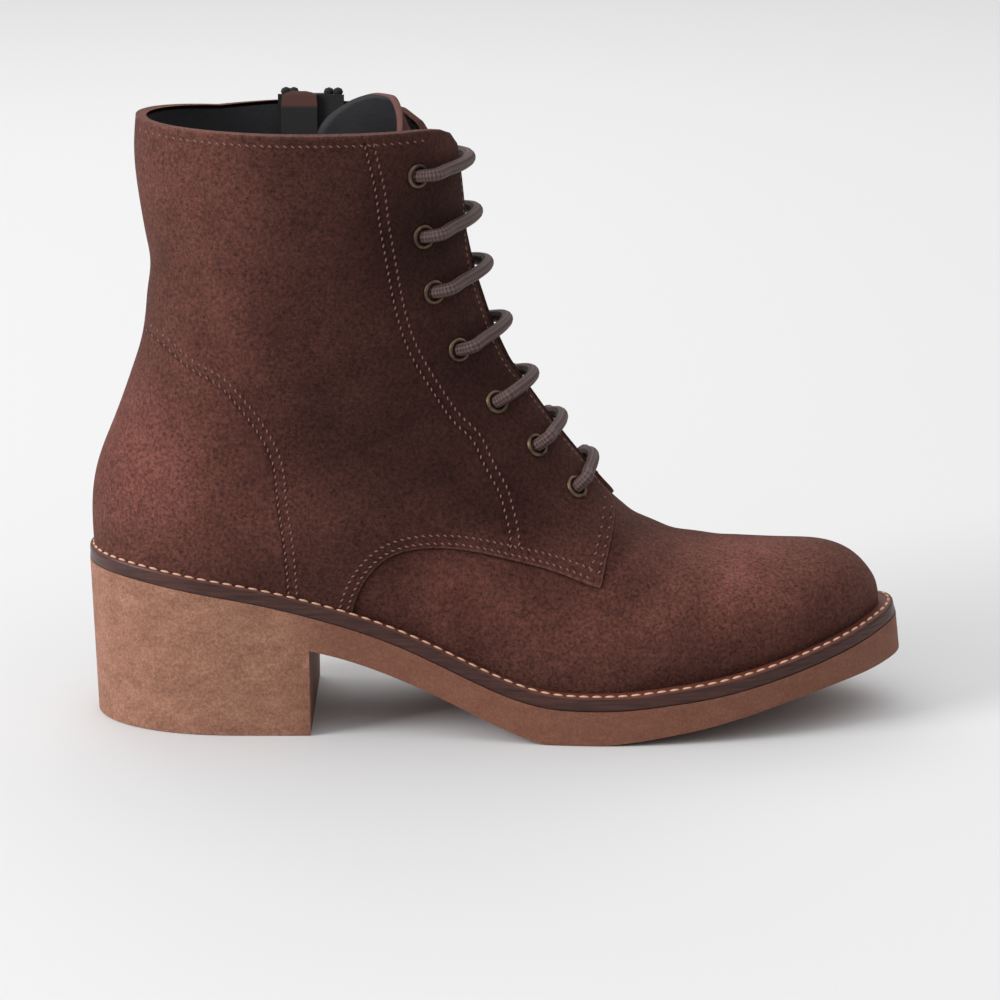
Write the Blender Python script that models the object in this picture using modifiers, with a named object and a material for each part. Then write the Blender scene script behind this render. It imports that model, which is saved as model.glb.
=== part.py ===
"""Lace-up ankle boot, right foot: block-heeled outsole, welt, insole, hollow leather upper with
its quarters as a step in the wall, tongue, seven bars of lace in brass eyelets and an inner side zip.

Metres. Toe towards +X, inner (medial) side towards +Y, +Z up, standing on z = 0."""

import math

import bmesh
import bpy
import numpy as np
from mathutils import Matrix, Vector

# Driving sizes, in metres
FOOT_LENGTH = 0.2700
BALL_WIDTH = 0.0914
HEEL_WIDTH = 0.0680
COLLAR_HEIGHT = 0.1995
SEAT_HEIGHT = 0.0511
HEEL_LENGTH = 0.0752
HEEL_TAPER = 0.0014
JOINT_LENGTH = 0.2685
WELT_THICKNESS = 0.0048
WELT_LEDGE = 0.0052
WALL = 0.0020
QUARTER_STEP = 0.0014
INSOLE_RISE = 0.0022
INSOLE_FIT = 0.0012
TONGUE_THICKNESS = 0.0022
TONGUE_FIT = 0.0010
ZIP_FIT = 0.0017
LACE_DIAMETER = 0.0042
EYELET_DIAMETER = 0.0079
EYELET_BORE = 0.0050
EYELET_HEIGHT = 0.0008
ZIP_STEM = 0.0070
ZIP_TEETH = 0.0044
ZIP_TEETH_HEIGHT = 0.0010
ZIP_TAPE_WIDTH = 0.0220
ZIP_TAPE_THICKNESS = 0.0008
ZIP_TAPE_RISE = 0.0006
GUARD_WIDTH = 0.0120
GUARD_THICKNESS = 0.0012
GUARD_RISE = 0.0016
SLIDER_WIDTH = 0.0076
SLIDER_LENGTH = 0.0090
SLIDER_THICKNESS = 0.0016
LUG_WIDTH = 0.0024
LUG_HEIGHT = 0.0030
PIN_DIAMETER = 0.0012
PIN_PLAY = 0.00012
PULL_LENGTH = 0.0240
PULL_WIDTH = 0.0066
PULL_THICKNESS = 0.0012
CLEARANCE = 0.0003

# The joint between outsole and welt.
# Columns: place along JOINT_LENGTH, height as a share of SEAT_HEIGHT
JOINT = (
    (0.0000, 1.0215),
    (0.0298, 1.0157),
    (0.0726, 0.9961),
    (0.1359, 0.9472),
    (0.2097, 0.8787),
    (0.2708, 0.8004),
    (0.3277, 0.7123),
    (0.3855, 0.6008),
    (0.4469, 0.4540),
    (0.5091, 0.3131),
    (0.5587, 0.2407),
    (0.6071, 0.2231),
    (0.6555, 0.2290),
    (0.7076, 0.2564),
    (0.7561, 0.2877),
    (0.8082, 0.3386),
    (0.8741, 0.4227),
    (0.9385, 0.5147),
    (1.0000, 0.6067),
)

# The underside in front of the heel.
# Columns: place along JOINT_LENGTH, height as a share of SEAT_HEIGHT
TREAD = (
    (0.2793, 0.5753),
    (0.3203, 0.5205),
    (0.3620, 0.4481),
    (0.4112, 0.3444),
    (0.4600, 0.2270),
    (0.5091, 0.1057),
    (0.5438, 0.0313),
    (0.5661, 0.0000),
    (0.6257, 0.0000),
    (0.6629, 0.0196),
    (0.7006, 0.0509),
    (0.7475, 0.0939),
    (0.7970, 0.1546),
    (0.8492, 0.2270),
    (0.9236, 0.3112),
    (0.9683, 0.3444),
    (1.0000, 0.3699),
)

# The sole's edge seen from above.
# Columns: turn from the back of the heel (0) to the tip of the toe (1),
# outer edge and inner edge as shares of BALL_WIDTH
OUTLINE = (
    (0.0000, 0.0000, 0.0000),
    (0.0871, -0.1685, 0.1685),
    (0.1236, -0.2319, 0.2298),
    (0.1760, -0.3063, 0.3020),
    (0.2280, -0.3567, 0.3479),
    (0.2717, -0.3742, 0.3589),
    (0.3135, -0.3764, 0.3567),
    (0.3545, -0.3764, 0.3468),
    (0.3931, -0.3786, 0.3348),
    (0.4301, -0.3873, 0.3348),
    (0.4661, -0.4048, 0.3523),
    (0.5018, -0.4333, 0.3895),
    (0.5374, -0.4595, 0.4398),
    (0.5736, -0.4748, 0.4858),
    (0.6057, -0.4770, 0.5142),
    (0.6363, -0.4683, 0.5241),
    (0.6711, -0.4486, 0.5164),
    (0.7054, -0.4201, 0.4945),
    (0.7461, -0.3742, 0.4573),
    (0.7887, -0.3129, 0.4026),
    (0.8309, -0.2429, 0.3435),
    (0.8733, -0.1619, 0.2757),
    (0.9086, -0.0920, 0.2180),
    (0.9385, -0.0405, 0.1690),
    (0.9650, 0.0048, 0.1264),
    (0.9850, 0.0396, 0.0916),
    (1.0000, 0.0656, 0.0656),
)

# How far the welt stands proud of the upper.
# Columns: turn as above, share of WELT_LEDGE
LEDGE = (
    (0.00, 0.52),
    (0.20, 0.54),
    (0.38, 0.62),
    (0.50, 0.85),
    (0.60, 1.00),
    (0.82, 1.00),
    (0.92, 0.96),
    (1.00, 0.90),
)

# The back seam of the upper.
# Columns: rise from the seat (0) to the collar (1), x as a share of FOOT_LENGTH
BACK = (
    (0.000, 0.0096),
    (0.090, 0.0089),
    (0.150, 0.0122),
    (0.213, 0.0211),
    (0.286, 0.0370),
    (0.364, 0.0533),
    (0.420, 0.0641),
    (0.482, 0.0748),
    (0.550, 0.0815),
    (0.630, 0.0863),
    (0.700, 0.0852),
    (0.780, 0.0800),
    (0.860, 0.0748),
    (0.930, 0.0733),
    (1.000, 0.0763),
)

# Fan sections of the upper, from the tip of the toe to the collar. Each runs from the ridge down
# to the foot line, which turns from the toe (0) to the heel's back (1) and climbs to the collar (2).
# Columns: ridge x as a share of FOOT_LENGTH, ridge rise from SEAT_HEIGHT to COLLAR_HEIGHT,
# ridge y as a share of BALL_WIDTH, foot line, widest place down the section, roundness above it,
# roundness below it
SECTIONS = (
    (0.9726, -0.1072, 0.0635, 0.0000, 0.70, 2.00, 2.00),
    (0.9689, -0.0681, 0.0635, 0.0485, 0.70, 2.00, 2.20),
    (0.9585, -0.0343, 0.0613, 0.0930, 0.71, 2.00, 2.30),
    (0.9363, 0.0033, 0.0580, 0.1408, 0.72, 2.00, 2.40),
    (0.9000, 0.0256, 0.0536, 0.1900, 0.72, 2.00, 2.40),
    (0.8519, 0.0276, 0.0470, 0.2445, 0.71, 2.00, 2.40),
    (0.7889, 0.0330, 0.0350, 0.3028, 0.69, 2.00, 2.30),
    (0.7296, 0.0485, 0.0219, 0.3542, 0.67, 2.00, 2.20),
    (0.6844, 0.0815, 0.0109, 0.4018, 0.65, 1.95, 2.20),
    (0.6459, 0.1328, 0.0033, 0.4571, 0.62, 1.90, 2.20),
    (0.6141, 0.1981, -0.0022, 0.5210, 0.60, 1.85, 2.20),
    (0.5867, 0.2621, -0.0044, 0.5882, 0.58, 1.85, 2.20),
    (0.5622, 0.3227, -0.0044, 0.6656, 0.57, 1.85, 2.20),
    (0.5415, 0.3800, -0.0033, 0.7593, 0.57, 1.85, 2.20),
    (0.5278, 0.4205, -0.0022, 0.8656, 0.57, 1.85, 2.10),
    (0.5178, 0.4542, -0.0011, 1.0000, 0.57, 1.85, 2.10),
    (0.5067, 0.4980, 0.0000, 1.0930, 0.56, 1.85, 2.10),
    (0.4956, 0.5486, 0.0000, 1.1930, 0.55, 1.85, 2.10),
    (0.4859, 0.5991, 0.0000, 1.2930, 0.54, 1.85, 2.05),
    (0.4763, 0.6530, 0.0000, 1.3930, 0.54, 1.85, 2.00),
    (0.4685, 0.7137, 0.0000, 1.4930, 0.54, 1.85, 2.00),
    (0.4615, 0.7810, 0.0000, 1.5930, 0.54, 1.85, 2.00),
    (0.4556, 0.8551, 0.0000, 1.7210, 0.54, 1.85, 2.00),
    (0.4511, 0.9226, 0.0000, 1.8640, 0.54, 1.85, 2.00),
    (0.4474, 0.9845, 0.0000, 2.0000, 0.54, 1.85, 2.00),
)
SEAT_ROW = 15

# How far the sections swell past their foot line.
# Columns: section row, bulge as a share of HEEL_WIDTH
BULGE = (
    (0, 0.0000),
    (1, 0.0382),
    (2, 0.0676),
    (3, 0.0971),
    (4, 0.1235),
    (5, 0.1412),
    (6, 0.1529),
    (7, 0.1618),
    (8, 0.1735),
    (9, 0.1853),
    (10, 0.1971),
    (11, 0.2059),
    (12, 0.2158),
    (13, 0.2322),
    (13.5, 0.3032),
    (14, 0.3929),
    (14.25, 0.4355),
    (14.5, 0.4683),
    (14.75, 0.4869),
    (15, 0.4926),
    (15.5, 0.4926),
    (16, 0.4926),
    (17, 0.4941),
    (18, 0.4971),
    (19, 0.5000),
    (20, 0.5059),
    (21, 0.5147),
    (22, 0.5294),
    (23, 0.5471),
    (24, 0.5647),
)

# Lower and front edge of the quarters, seen from the side.
# Columns: x as a share of FOOT_LENGTH, z as a share of COLLAR_HEIGHT
QUARTER_EDGE = (
    (0.3220, 0.1700),
    (0.3310, 0.2340),
    (0.3500, 0.2810),
    (0.3730, 0.3080),
    (0.3985, 0.3193),
    (0.4320, 0.3220),
    (0.4720, 0.3150),
    (0.5190, 0.2990),
    (0.5680, 0.2810),
    (0.6090, 0.2610),
    (0.6235, 0.2550),
    (0.6305, 0.2925),
    (0.6360, 0.3195),
    (0.6400, 0.3435),
    (0.6425, 0.3700),
    (0.6480, 0.4200),
)

# The open throat between the quarters.
# Columns: section row, outer and inner half gap as shares of BALL_WIDTH
THROAT = (
    (8.40, 0.080, 0.080),
    (9.15, 0.070, 0.070),
    (9.75, 0.050, 0.060),
    (11.0, 0.045, 0.060),
    (13.0, 0.055, 0.070),
    (15.0, 0.075, 0.080),
    (17.3, 0.090, 0.090),
    (19.0, 0.094, 0.094),
    (20.4, 0.085, 0.100),
    (21.5, 0.058, 0.115),
    (22.2, 0.050, 0.135),
    (23.3, 0.048, 0.180),
    (24.0, 0.048, 0.205),
    (25.0, 0.048, 0.210),
)
THROAT_START = 9.40

# Collar line seen from the side, outer and inner quarter: x as a share of FOOT_LENGTH,
# fall below COLLAR_HEIGHT as a share of it
OUTER_COLLAR = (
    (0.0000, -0.0020),
    (0.0763, 0.0000),
    (0.2500, 0.0060),
    (0.4100, 0.0110),
    (0.4280, 0.0135),
    (0.4400, 0.0240),
    (0.4480, 0.0460),
    (0.4520, 0.0900),
)
INNER_COLLAR = (
    (0.0000, -0.0020),
    (0.0763, 0.0000),
    (0.1600, 0.0120),
    (0.2300, 0.0080),
    (0.3600, 0.0090),
    (0.3850, 0.0130),
    (0.4070, 0.0330),
    (0.4200, 0.0620),
    (0.4300, 0.1100),
)

# Columns: section row, way round from the ridge as a share of BALL_WIDTH
EYELETS = (
    (10.30, 0.192),
    (11.80, 0.200),
    (13.70, 0.217),
    (16.75, 0.260),
    (19.20, 0.295),
    (21.00, 0.303),
    (22.65, 0.303),
)

# The tongue up its length.
# Columns: section row, half width, shift to the inner side and lean to the back as shares of
# BALL_WIDTH
TONGUE = (
    (8.2, 0.180, 0.000, 0.000),
    (12.0, 0.250, 0.000, 0.000),
    (16.0, 0.280, 0.000, 0.000),
    (19.0, 0.290, 0.005, 0.000),
    (20.5, 0.295, 0.030, 0.012),
    (22.0, 0.300, 0.090, 0.055),
    (23.0, 0.305, 0.150, 0.105),
    (24.0, 0.305, 0.210, 0.155),
    (25.0, 0.305, 0.250, 0.185),
)
TONGUE_START = 8.2
# Columns: place across the tongue, outer (-1) to inner (1), section row where it ends,
# times the lean of the table above
TONGUE_TOP = (
    (-1.00, 23.80, 0.87),
    (-0.80, 24.35, 0.84),
    (-0.50, 24.75, 0.86),
    (-0.20, 24.70, 1.00),
    (0.10, 24.45, 1.19),
    (0.40, 24.05, 1.39),
    (0.70, 23.60, 1.65),
    (0.90, 23.20, 1.95),
    (1.00, 22.95, 2.10),
)

# The zip's line on the inner side: x as a share of FOOT_LENGTH, z as a share of COLLAR_HEIGHT
ZIP_LINE = (
    (0.2960, 0.3350),
    (0.2880, 0.4500),
    (0.2800, 0.6000),
    (0.2760, 0.7600),
    (0.2740, 0.9000),
    (0.2740, 1.0000),
)
SLIDER_PLACE = 0.9800


class Smooth:
    """A smooth curve through a table's column, straight on past both ends."""

    def __init__(self, table, column):
        self.x = np.array([row[0] for row in table], float)
        self.y = np.array([row[column] for row in table], float)
        step = np.diff(self.x)
        rise = np.diff(self.y) / step
        system = np.eye(len(self.x))
        right = np.zeros(len(self.x))
        for i in range(1, len(self.x) - 1):
            system[i, i - 1 : i + 2] = step[i - 1], 2 * (step[i - 1] + step[i]), step[i]
            right[i] = 6 * (rise[i] - rise[i - 1])
        self.bend = np.linalg.solve(system, right)

    def __call__(self, at):
        inside = np.clip(at, self.x[0], self.x[-1])
        i = np.clip(np.searchsorted(self.x, inside) - 1, 0, len(self.x) - 2)
        step = self.x[i + 1] - self.x[i]
        a = (self.x[i + 1] - inside) / step
        b = 1 - a
        value = a * self.y[i] + b * self.y[i + 1]
        value = value + ((a**3 - a) * self.bend[i] + (b**3 - b) * self.bend[i + 1]) * step**2 / 6
        slope = (self.y[i + 1] - self.y[i]) / step
        slope = slope + ((1 - 3 * a**2) * self.bend[i] + (3 * b**2 - 1) * self.bend[i + 1]) * step / 6
        return value + slope * (at - inside)


def steady(table, column, at):
    """A curve through a table's column that never swings past its values."""
    x = np.array([row[0] for row in table], float)
    y = np.array([row[column] for row in table], float)
    step = np.diff(x)
    rise = np.diff(y) / step
    slope = np.zeros(len(x))
    for i in range(1, len(x) - 1):
        if rise[i - 1] * rise[i] > 0:
            w1 = 2 * step[i] + step[i - 1]
            w2 = step[i] + 2 * step[i - 1]
            slope[i] = (w1 + w2) / (w1 / rise[i - 1] + w2 / rise[i])
    slope[0] = rise[0]
    slope[-1] = rise[-1]
    at = np.clip(at, x[0], x[-1])
    i = int(np.clip(np.searchsorted(x, at) - 1, 0, len(x) - 2))
    h = step[i]
    a = (at - x[i]) / h
    value = (1 + 2 * a) * (1 - a) ** 2 * y[i] + a * (1 - a) ** 2 * h * slope[i]
    return value + a * a * (3 - 2 * a) * y[i + 1] + a * a * (a - 1) * h * slope[i + 1]


joint_curve = Smooth(JOINT, 1)
edge_curves = {-1: Smooth(OUTLINE, 1), 1: Smooth(OUTLINE, 2)}
ledge_curve = Smooth(LEDGE, 1)
back_curve = Smooth(BACK, 1)
numbered_sections = tuple((i,) + row for i, row in enumerate(SECTIONS))
section_curves = [Smooth(numbered_sections, k) for k in range(1, 8)]
bulge_curve = Smooth(BULGE, 1)


def joint_height(x):
    return SEAT_HEIGHT * joint_curve(x / JOINT_LENGTH)


def joint_tilt(x):
    reach = 0.0005
    return math.atan2(joint_height(x + reach) - joint_height(x - reach), 2 * reach)


def sole_point(x, y, up):
    """A point of the flat sole, bent onto the joint's curve."""
    tilt = joint_tilt(x)
    return np.array([x - up * math.sin(tilt), y, joint_height(x) + up * math.cos(tilt)])


def edge_point(side, turn):
    x = JOINT_LENGTH * (1 - math.cos(math.pi * turn)) / 2
    return np.array([x, BALL_WIDTH * edge_curves[side](turn)])


def inset_point(side, turn, inset):
    """The sole's edge moved inwards, seen from above."""
    reach = 1e-4
    if turn < reach:
        along = np.array([0.0, side])
    elif turn > 1 - reach:
        along = np.array([0.0, -side])
    else:
        along = edge_point(side, turn + reach) - edge_point(side, turn - reach)
        along /= np.linalg.norm(along)
    inwards = np.array([along[1], -along[0]]) * side
    return edge_point(side, turn) + inset * inwards


def feather_point(side, turn, inset=0.0, up=0.0):
    """The foot line of the upper on the welt."""
    x, y = inset_point(side, turn, WELT_LEDGE * ledge_curve(turn) + inset)
    return sole_point(x, y, WELT_THICKNESS + up)


def foot_point(side, place):
    if place <= 1:
        return feather_point(side, 1 - place)
    seat = feather_point(side, 0.0)
    rise = place - 1
    height = seat[2] + rise * (COLLAR_HEIGHT - seat[2])
    shift = seat[0] - FOOT_LENGTH * back_curve(0)
    return np.array([FOOT_LENGTH * back_curve(rise) + shift * (1 - rise), 0.0, height])


def section(row, side, count=60):
    """One fan section of the upper's outside from the ridge to its foot, and the way along it."""
    x, rise, y, place, widest, top, low = [float(curve(row)) for curve in section_curves]
    bulge = float(bulge_curve(row))
    ridge = np.array([FOOT_LENGTH * x, BALL_WIDTH * y, SEAT_HEIGHT + rise * (COLLAR_HEIGHT - SEAT_HEIGHT)])
    near = foot_point(side, place)
    far = foot_point(-side, place)
    if row <= 0:
        ridge = near.copy()
    end = abs(near[1] - far[1]) / 2
    middle = (near[1] + far[1]) / 2
    half = math.hypot(end, HEEL_WIDTH * bulge) + 1e-9
    s = (1 - np.cos(np.pi * np.linspace(0, 1, count))) / 2
    k = (1 - (end / half) ** 2) ** (1 / low)
    stop = widest + (1 - widest) / max(k, 1e-6)
    above = 1 - np.clip((widest - s) / widest, 0, 1) ** top
    below = 1 - np.clip((s - widest) / (stop - widest), 0, 1) ** low
    width = half * np.sqrt(np.clip(np.where(s < widest, above, below), 0, 1))
    points = np.stack([
        ridge[0] + s * (near[0] - ridge[0]),
        ridge[1] + s * (middle - ridge[1]) + side * width,
        ridge[2] + s * (near[2] - ridge[2]),
    ], axis=1)
    lengths = np.linalg.norm(np.diff(points, axis=0), axis=1)
    return points, np.concatenate([[0], np.cumsum(lengths)])


def skin_point(row, side, way):
    """The point of the upper's outside on one section, this way round from the ridge."""
    points, along = section(row, side)
    return np.array([np.interp(way, along, points[:, k]) for k in range(3)])


def skin_frame(row, way):
    """Point, outward normal and the direction across at a signed way round, negative on the outer side."""
    def at(r, w):
        return skin_point(r, 1 if w >= 0 else -1, abs(w))

    across = at(row, way + 0.0006) - at(row, way - 0.0006)
    back = at(row + 0.03, way) - at(row - 0.03, way)
    normal = np.cross(across, back)
    return at(row, way), normal / np.linalg.norm(normal), across / np.linalg.norm(across)


CHORD_ROWS = np.arange(6.0, 26.05, 0.1)
chords = {side: np.array([section(row, side, 2)[0] for row in CHORD_ROWS]) for side in (-1, 1)}


def side_point(side, x, z):
    """The point of the upper's outside at x and z, seen from one side."""
    ridge = chords[side][:, 0]
    reach = chords[side][:, 1] - ridge
    miss = reach[:, 0] * (z - ridge[:, 2]) - reach[:, 2] * (x - ridge[:, 0])
    changes = np.nonzero(np.diff(np.sign(miss)))[0]
    i = changes[0] if len(changes) else len(miss) - 2
    row = CHORD_ROWS[i] + 0.1 * miss[i] / (miss[i] - miss[i + 1])
    count = 90
    points, along = section(row, side, count)
    chord = points[-1] - points[0]
    s = ((x - points[0][0]) * chord[0] + (z - points[0][2]) * chord[2]) / (chord[0] ** 2 + chord[2] ** 2)
    shares = (1 - np.cos(np.pi * np.linspace(0, 1, count))) / 2
    return np.array([x, np.interp(s, shares, points[:, 1]), z])


def side_frame(side, x, z):
    reach = 0.001
    point = side_point(side, x, z)
    dx = (side_point(side, x + reach, z)[1] - side_point(side, x - reach, z)[1]) / (2 * reach)
    dz = (side_point(side, x, z + reach)[1] - side_point(side, x, z - reach)[1]) / (2 * reach)
    normal = side * np.array([-dx, 1.0, -dz])
    return point, normal / np.linalg.norm(normal)


# The scene
for old in list(bpy.data.objects):
    bpy.data.objects.remove(old)


def new_collection(name):
    collection = bpy.data.collections.new(name)
    bpy.context.scene.collection.children.link(collection)
    return collection


parts = new_collection("lace_up_ankle_boot")
tools = new_collection("cutters")


def material(name, colour, roughness, metallic=0.0):
    made = bpy.data.materials.new(name)
    made.use_nodes = True
    shader = made.node_tree.nodes["Principled BSDF"]
    shader.inputs["Base Color"].default_value = (*colour, 1.0)
    shader.inputs["Roughness"].default_value = roughness
    shader.inputs["Metallic"].default_value = metallic
    return made


SUEDE = material("suede", (0.105, 0.040, 0.030), 0.90)
RUBBER = material("rubber", (0.300, 0.135, 0.080), 0.75)
WELT_LEATHER = material("welt_leather", (0.055, 0.028, 0.022), 0.45)
LINING = material("lining", (0.016, 0.016, 0.019), 0.80)
LACE = material("lace", (0.070, 0.045, 0.042), 0.70)
BRASS = material("brass", (0.260, 0.190, 0.110), 0.40, 1.0)
ZIP_CLOTH = material("zip_cloth", (0.012, 0.012, 0.013), 0.80)
ZIP_METAL = material("zip_metal", (0.180, 0.170, 0.160), 0.35, 1.0)


def add(name, mesh, skin, collection=None):
    """An object from a mesh, smooth but for its sharp edges."""
    mesh.materials.append(skin)
    mesh.shade_smooth()
    mesh.set_sharp_from_angle(angle=math.radians(35))
    made = bpy.data.objects.new(name, mesh)
    (collection or parts).objects.link(made)
    return made


def mesh_of(name, points, faces):
    mesh = bpy.data.meshes.new(name)
    mesh.from_pydata([tuple(map(float, p)) for p in points], [], faces)
    form = bmesh.new()
    form.from_mesh(mesh)
    bmesh.ops.remove_doubles(form, verts=form.verts, dist=1e-7)
    form.to_mesh(mesh)
    form.free()
    return mesh


def loft(name, rings, closed=False):
    """A solid through rings of as many points each, its ends filled, or a closed loop of rings."""
    n = len(rings[0])
    points = [p for ring in rings for p in ring]
    faces = []
    last = len(rings) if closed else len(rings) - 1
    for i in range(last):
        for j in range(n):
            a = i * n + j
            b = i * n + (j + 1) % n
            c = ((i + 1) % len(rings)) * n + (j + 1) % n
            d = ((i + 1) % len(rings)) * n + j
            faces.append((a, b, c, d))
    if not closed:
        faces.append(tuple(range(n - 1, -1, -1)))
        faces.append(tuple(range((len(rings) - 1) * n, len(rings) * n)))
    mesh = mesh_of(name, points, faces)
    form = bmesh.new()
    form.from_mesh(mesh)
    bmesh.ops.triangulate(form, faces=form.faces)
    if form.calc_volume(signed=True) < 0:
        bmesh.ops.reverse_faces(form, faces=form.faces)
    form.to_mesh(mesh)
    form.free()
    return mesh


def cutter(name, mesh):
    made = add(name, mesh, SUEDE, tools)
    made.hide_render = True
    made.display_type = "WIRE"
    return made


def boolean(target, tool, operation="DIFFERENCE"):
    made = target.modifiers.new(tool.name, "BOOLEAN")
    made.operation = operation
    made.solver = "EXACT"
    made.object = tool
    return made


def prism(name, outline, y0, y1):
    """A flat outline in x and z, drawn out along y."""
    return loft(name, [[(x, y, z) for x, z in outline] for y in (y0, y1)])


# Outsole: one moulded unit with the heel block
SOLE_COLUMNS = 4
HEEL_STATIONS = 13
ARCH_STATIONS = 28


def turn_at(x):
    return math.acos(1 - 2 * x / JOINT_LENGTH) / math.pi


def across(a, b, columns):
    return [a + (b - a) * k / columns for k in range(columns + 1)]


def slab(name, stations):
    """A solid between upper and lower rows of points, each from the outer to the inner edge."""
    return loft(name, [list(top) + list(low)[::-1] for top, low in stations])


def tread_point(side, turn):
    x, y = edge_point(side, turn)
    height = SEAT_HEIGHT * steady(TREAD, 1, x / JOINT_LENGTH)
    tilt = joint_tilt(x)
    shift = (joint_height(x) - height) * math.sin(tilt) * math.cos(tilt) * 0.45
    return np.array([x + shift, y, height])


def heel_point(side, turn):
    x, y = inset_point(side, turn, HEEL_TAPER)
    return np.array([x, y, 0.0])


def joint_point(side, turn, inset=0.0, up=0.0):
    x, y = inset_point(side, turn, inset)
    return sole_point(x, y, up)


breast = turn_at(HEEL_LENGTH)
BREAST_DRAFT = 0.0012
behind_breast = turn_at(HEEL_LENGTH - BREAST_DRAFT)
stations = []
for turn in np.linspace(0.0, behind_breast, HEEL_STATIONS):
    top = across(joint_point(-1, turn), joint_point(1, turn), SOLE_COLUMNS)
    low = across(heel_point(-1, turn), heel_point(1, turn), SOLE_COLUMNS)
    stations.append((top, low))
for turn in np.linspace(breast, 1.0, ARCH_STATIONS):
    top = across(joint_point(-1, turn), joint_point(1, turn), SOLE_COLUMNS)
    low = across(tread_point(-1, turn), tread_point(1, turn), SOLE_COLUMNS)
    stations.append((top, low))
outsole = add("outsole", slab("outsole", stations), RUBBER)

# Welt: a strip all round between outsole and upper
LOOP_STATIONS = 34
FEATHER_HIDE = WALL + CLEARANCE


def loop_turns():
    out = [(-1, turn) for turn in np.linspace(0, 1, LOOP_STATIONS)]
    back = [(1, turn) for turn in np.linspace(1, 0, LOOP_STATIONS)]
    return out + back[1:-1]


rings = []
for side, turn in loop_turns():
    inner = WELT_LEDGE * ledge_curve(turn) + FEATHER_HIDE
    rings.append([
        joint_point(side, turn, 0.0, CLEARANCE),
        joint_point(side, turn, 0.0, WELT_THICKNESS),
        joint_point(side, turn, inner, WELT_THICKNESS),
        joint_point(side, turn, inner, CLEARANCE),
    ])
welt = add("welt", loft("welt", rings, closed=True), WELT_LEATHER)

# Insole: fills the welt and stands a little above it
INSOLE_STATIONS = 26
INSOLE_COLUMNS = 4
insole_inset = FEATHER_HIDE + INSOLE_FIT
stations = []
for turn in np.linspace(0.0, 1.0, INSOLE_STATIONS):
    inset = WELT_LEDGE * ledge_curve(turn) + insole_inset
    edges = []
    for up in (WELT_THICKNESS + INSOLE_RISE, CLEARANCE):
        outer_edge = joint_point(-1, turn, inset, up)
        edges.append(across(outer_edge, joint_point(1, turn, inset, up), INSOLE_COLUMNS))
    stations.append(tuple(edges))
insole = add("insole", slab("insole", stations), LINING)

# Upper: an open skin with Solidify, trimmed at the welt, collar and throat
SKIN_COLUMNS = 15
END_CROWDING = 0.5
FOOT_EXTRA = 0.004
COLLAR_EXTRA = 0.6
SKIN_ROWS = (
    0.0, 1.2, 2.0, 2.8, 3.7, 4.8, 6.0, 7.2, 8.3, 9.2, 10.2, 11.2, 12.0, 12.8,
    13.5, 14.1, 14.6, 15.0, 15.4, 15.9, 16.5, 17.2, 18.2, 19.4, 20.6, 21.8, 23.0, 24.0, 24.0 + COLLAR_EXTRA,
)


def skin_mesh(name, rows):
    """The upper's outside as an open surface, run on below the welt and above the collar."""
    points = []
    faces = []
    n = 2 * SKIN_COLUMNS + 3
    for row in rows:
        line = []
        for side in (-1, 1):
            curve, along = section(row, side)
            crowding = END_CROWDING * min(max((row - 4) / 6, 0.0), 1.0)
            even = np.linspace(0, 1, SKIN_COLUMNS + 1)
            ways = along[-1] * ((1 - crowding) * even + crowding * (1 - np.cos(np.pi * even)) / 2)
            half = [np.array([np.interp(w, along, curve[:, k]) for k in range(3)]) for w in ways]
            if row <= SEAT_ROW:
                place = min(float(section_curves[3](row)), 1.0)
                half.append(feather_point(side, 1 - place, 0.0, -FOOT_EXTRA))
            else:
                half.append(half[-1])
            line.append(half)
        points += line[0][::-1] + line[1][1:]
    for i, (row, after) in enumerate(zip(rows, rows[1:])):
        for j in range(n - 1):
            if after > SEAT_ROW and j in (0, n - 2):
                continue
            a = i * n + j
            faces.append((a, a + 1, a + n + 1, a + n))
    return mesh_of(name, points, faces)


def solidify(target, thickness):
    made = target.modifiers.new("wall", "SOLIDIFY")
    made.thickness = thickness
    made.offset = -1
    made.use_quality_normals = True
    target.modifiers.new("triangles", "TRIANGULATE")


upper = add("upper", skin_mesh("upper", SKIN_ROWS), SUEDE)
solidify(upper, WALL)

# The quarters: the same skin, lifted by the step, cut to their outline and joined on
quarter_rows = [7.6] + [row for row in SKIN_ROWS if row > 8]
quarters = cutter("quarters", skin_mesh("quarters", quarter_rows))
lift = quarters.modifiers.new("lift", "DISPLACE")
lift.strength = QUARTER_STEP
lift.mid_level = 0.0
solidify(quarters, QUARTER_STEP + WALL * 0.3)
FAR = 0.4
outline = [(FOOT_LENGTH * x, COLLAR_HEIGHT * z) for x, z in QUARTER_EDGE]
front_x = outline[-1][0]
outline += [(front_x, FAR), (-FAR, FAR), (-FAR, 0.0), (outline[0][0], 0.0)]
boolean(quarters, cutter("quarter_outline", prism("quarter_outline", outline, -FAR, FAR)), "INTERSECT")

# The throat
THROAT_DEPTH = 0.014
THROAT_OUT = 0.008


def throat_solid(name, rows, extra=0.0):
    rings = []
    outer = Smooth(THROAT, 1)
    inner = Smooth(THROAT, 2)
    for row in rows:
        ridge, foot = section(row, 1)[0][[0, -1]]
        inwards = np.array([foot[0] - ridge[0], 0.0, foot[2] - ridge[2]])
        inwards /= np.linalg.norm(inwards)
        low = -BALL_WIDTH * float(outer(row)) - extra
        high = BALL_WIDTH * float(inner(row)) + extra
        ring = []
        corners = ((low, -THROAT_OUT), (high, -THROAT_OUT), (high, THROAT_DEPTH), (low, THROAT_DEPTH))
        for y, depth in corners:
            point = ridge + inwards * depth
            ring.append((point[0], y, point[2]))
        rings.append(ring)
    return loft(name, rings)


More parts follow.
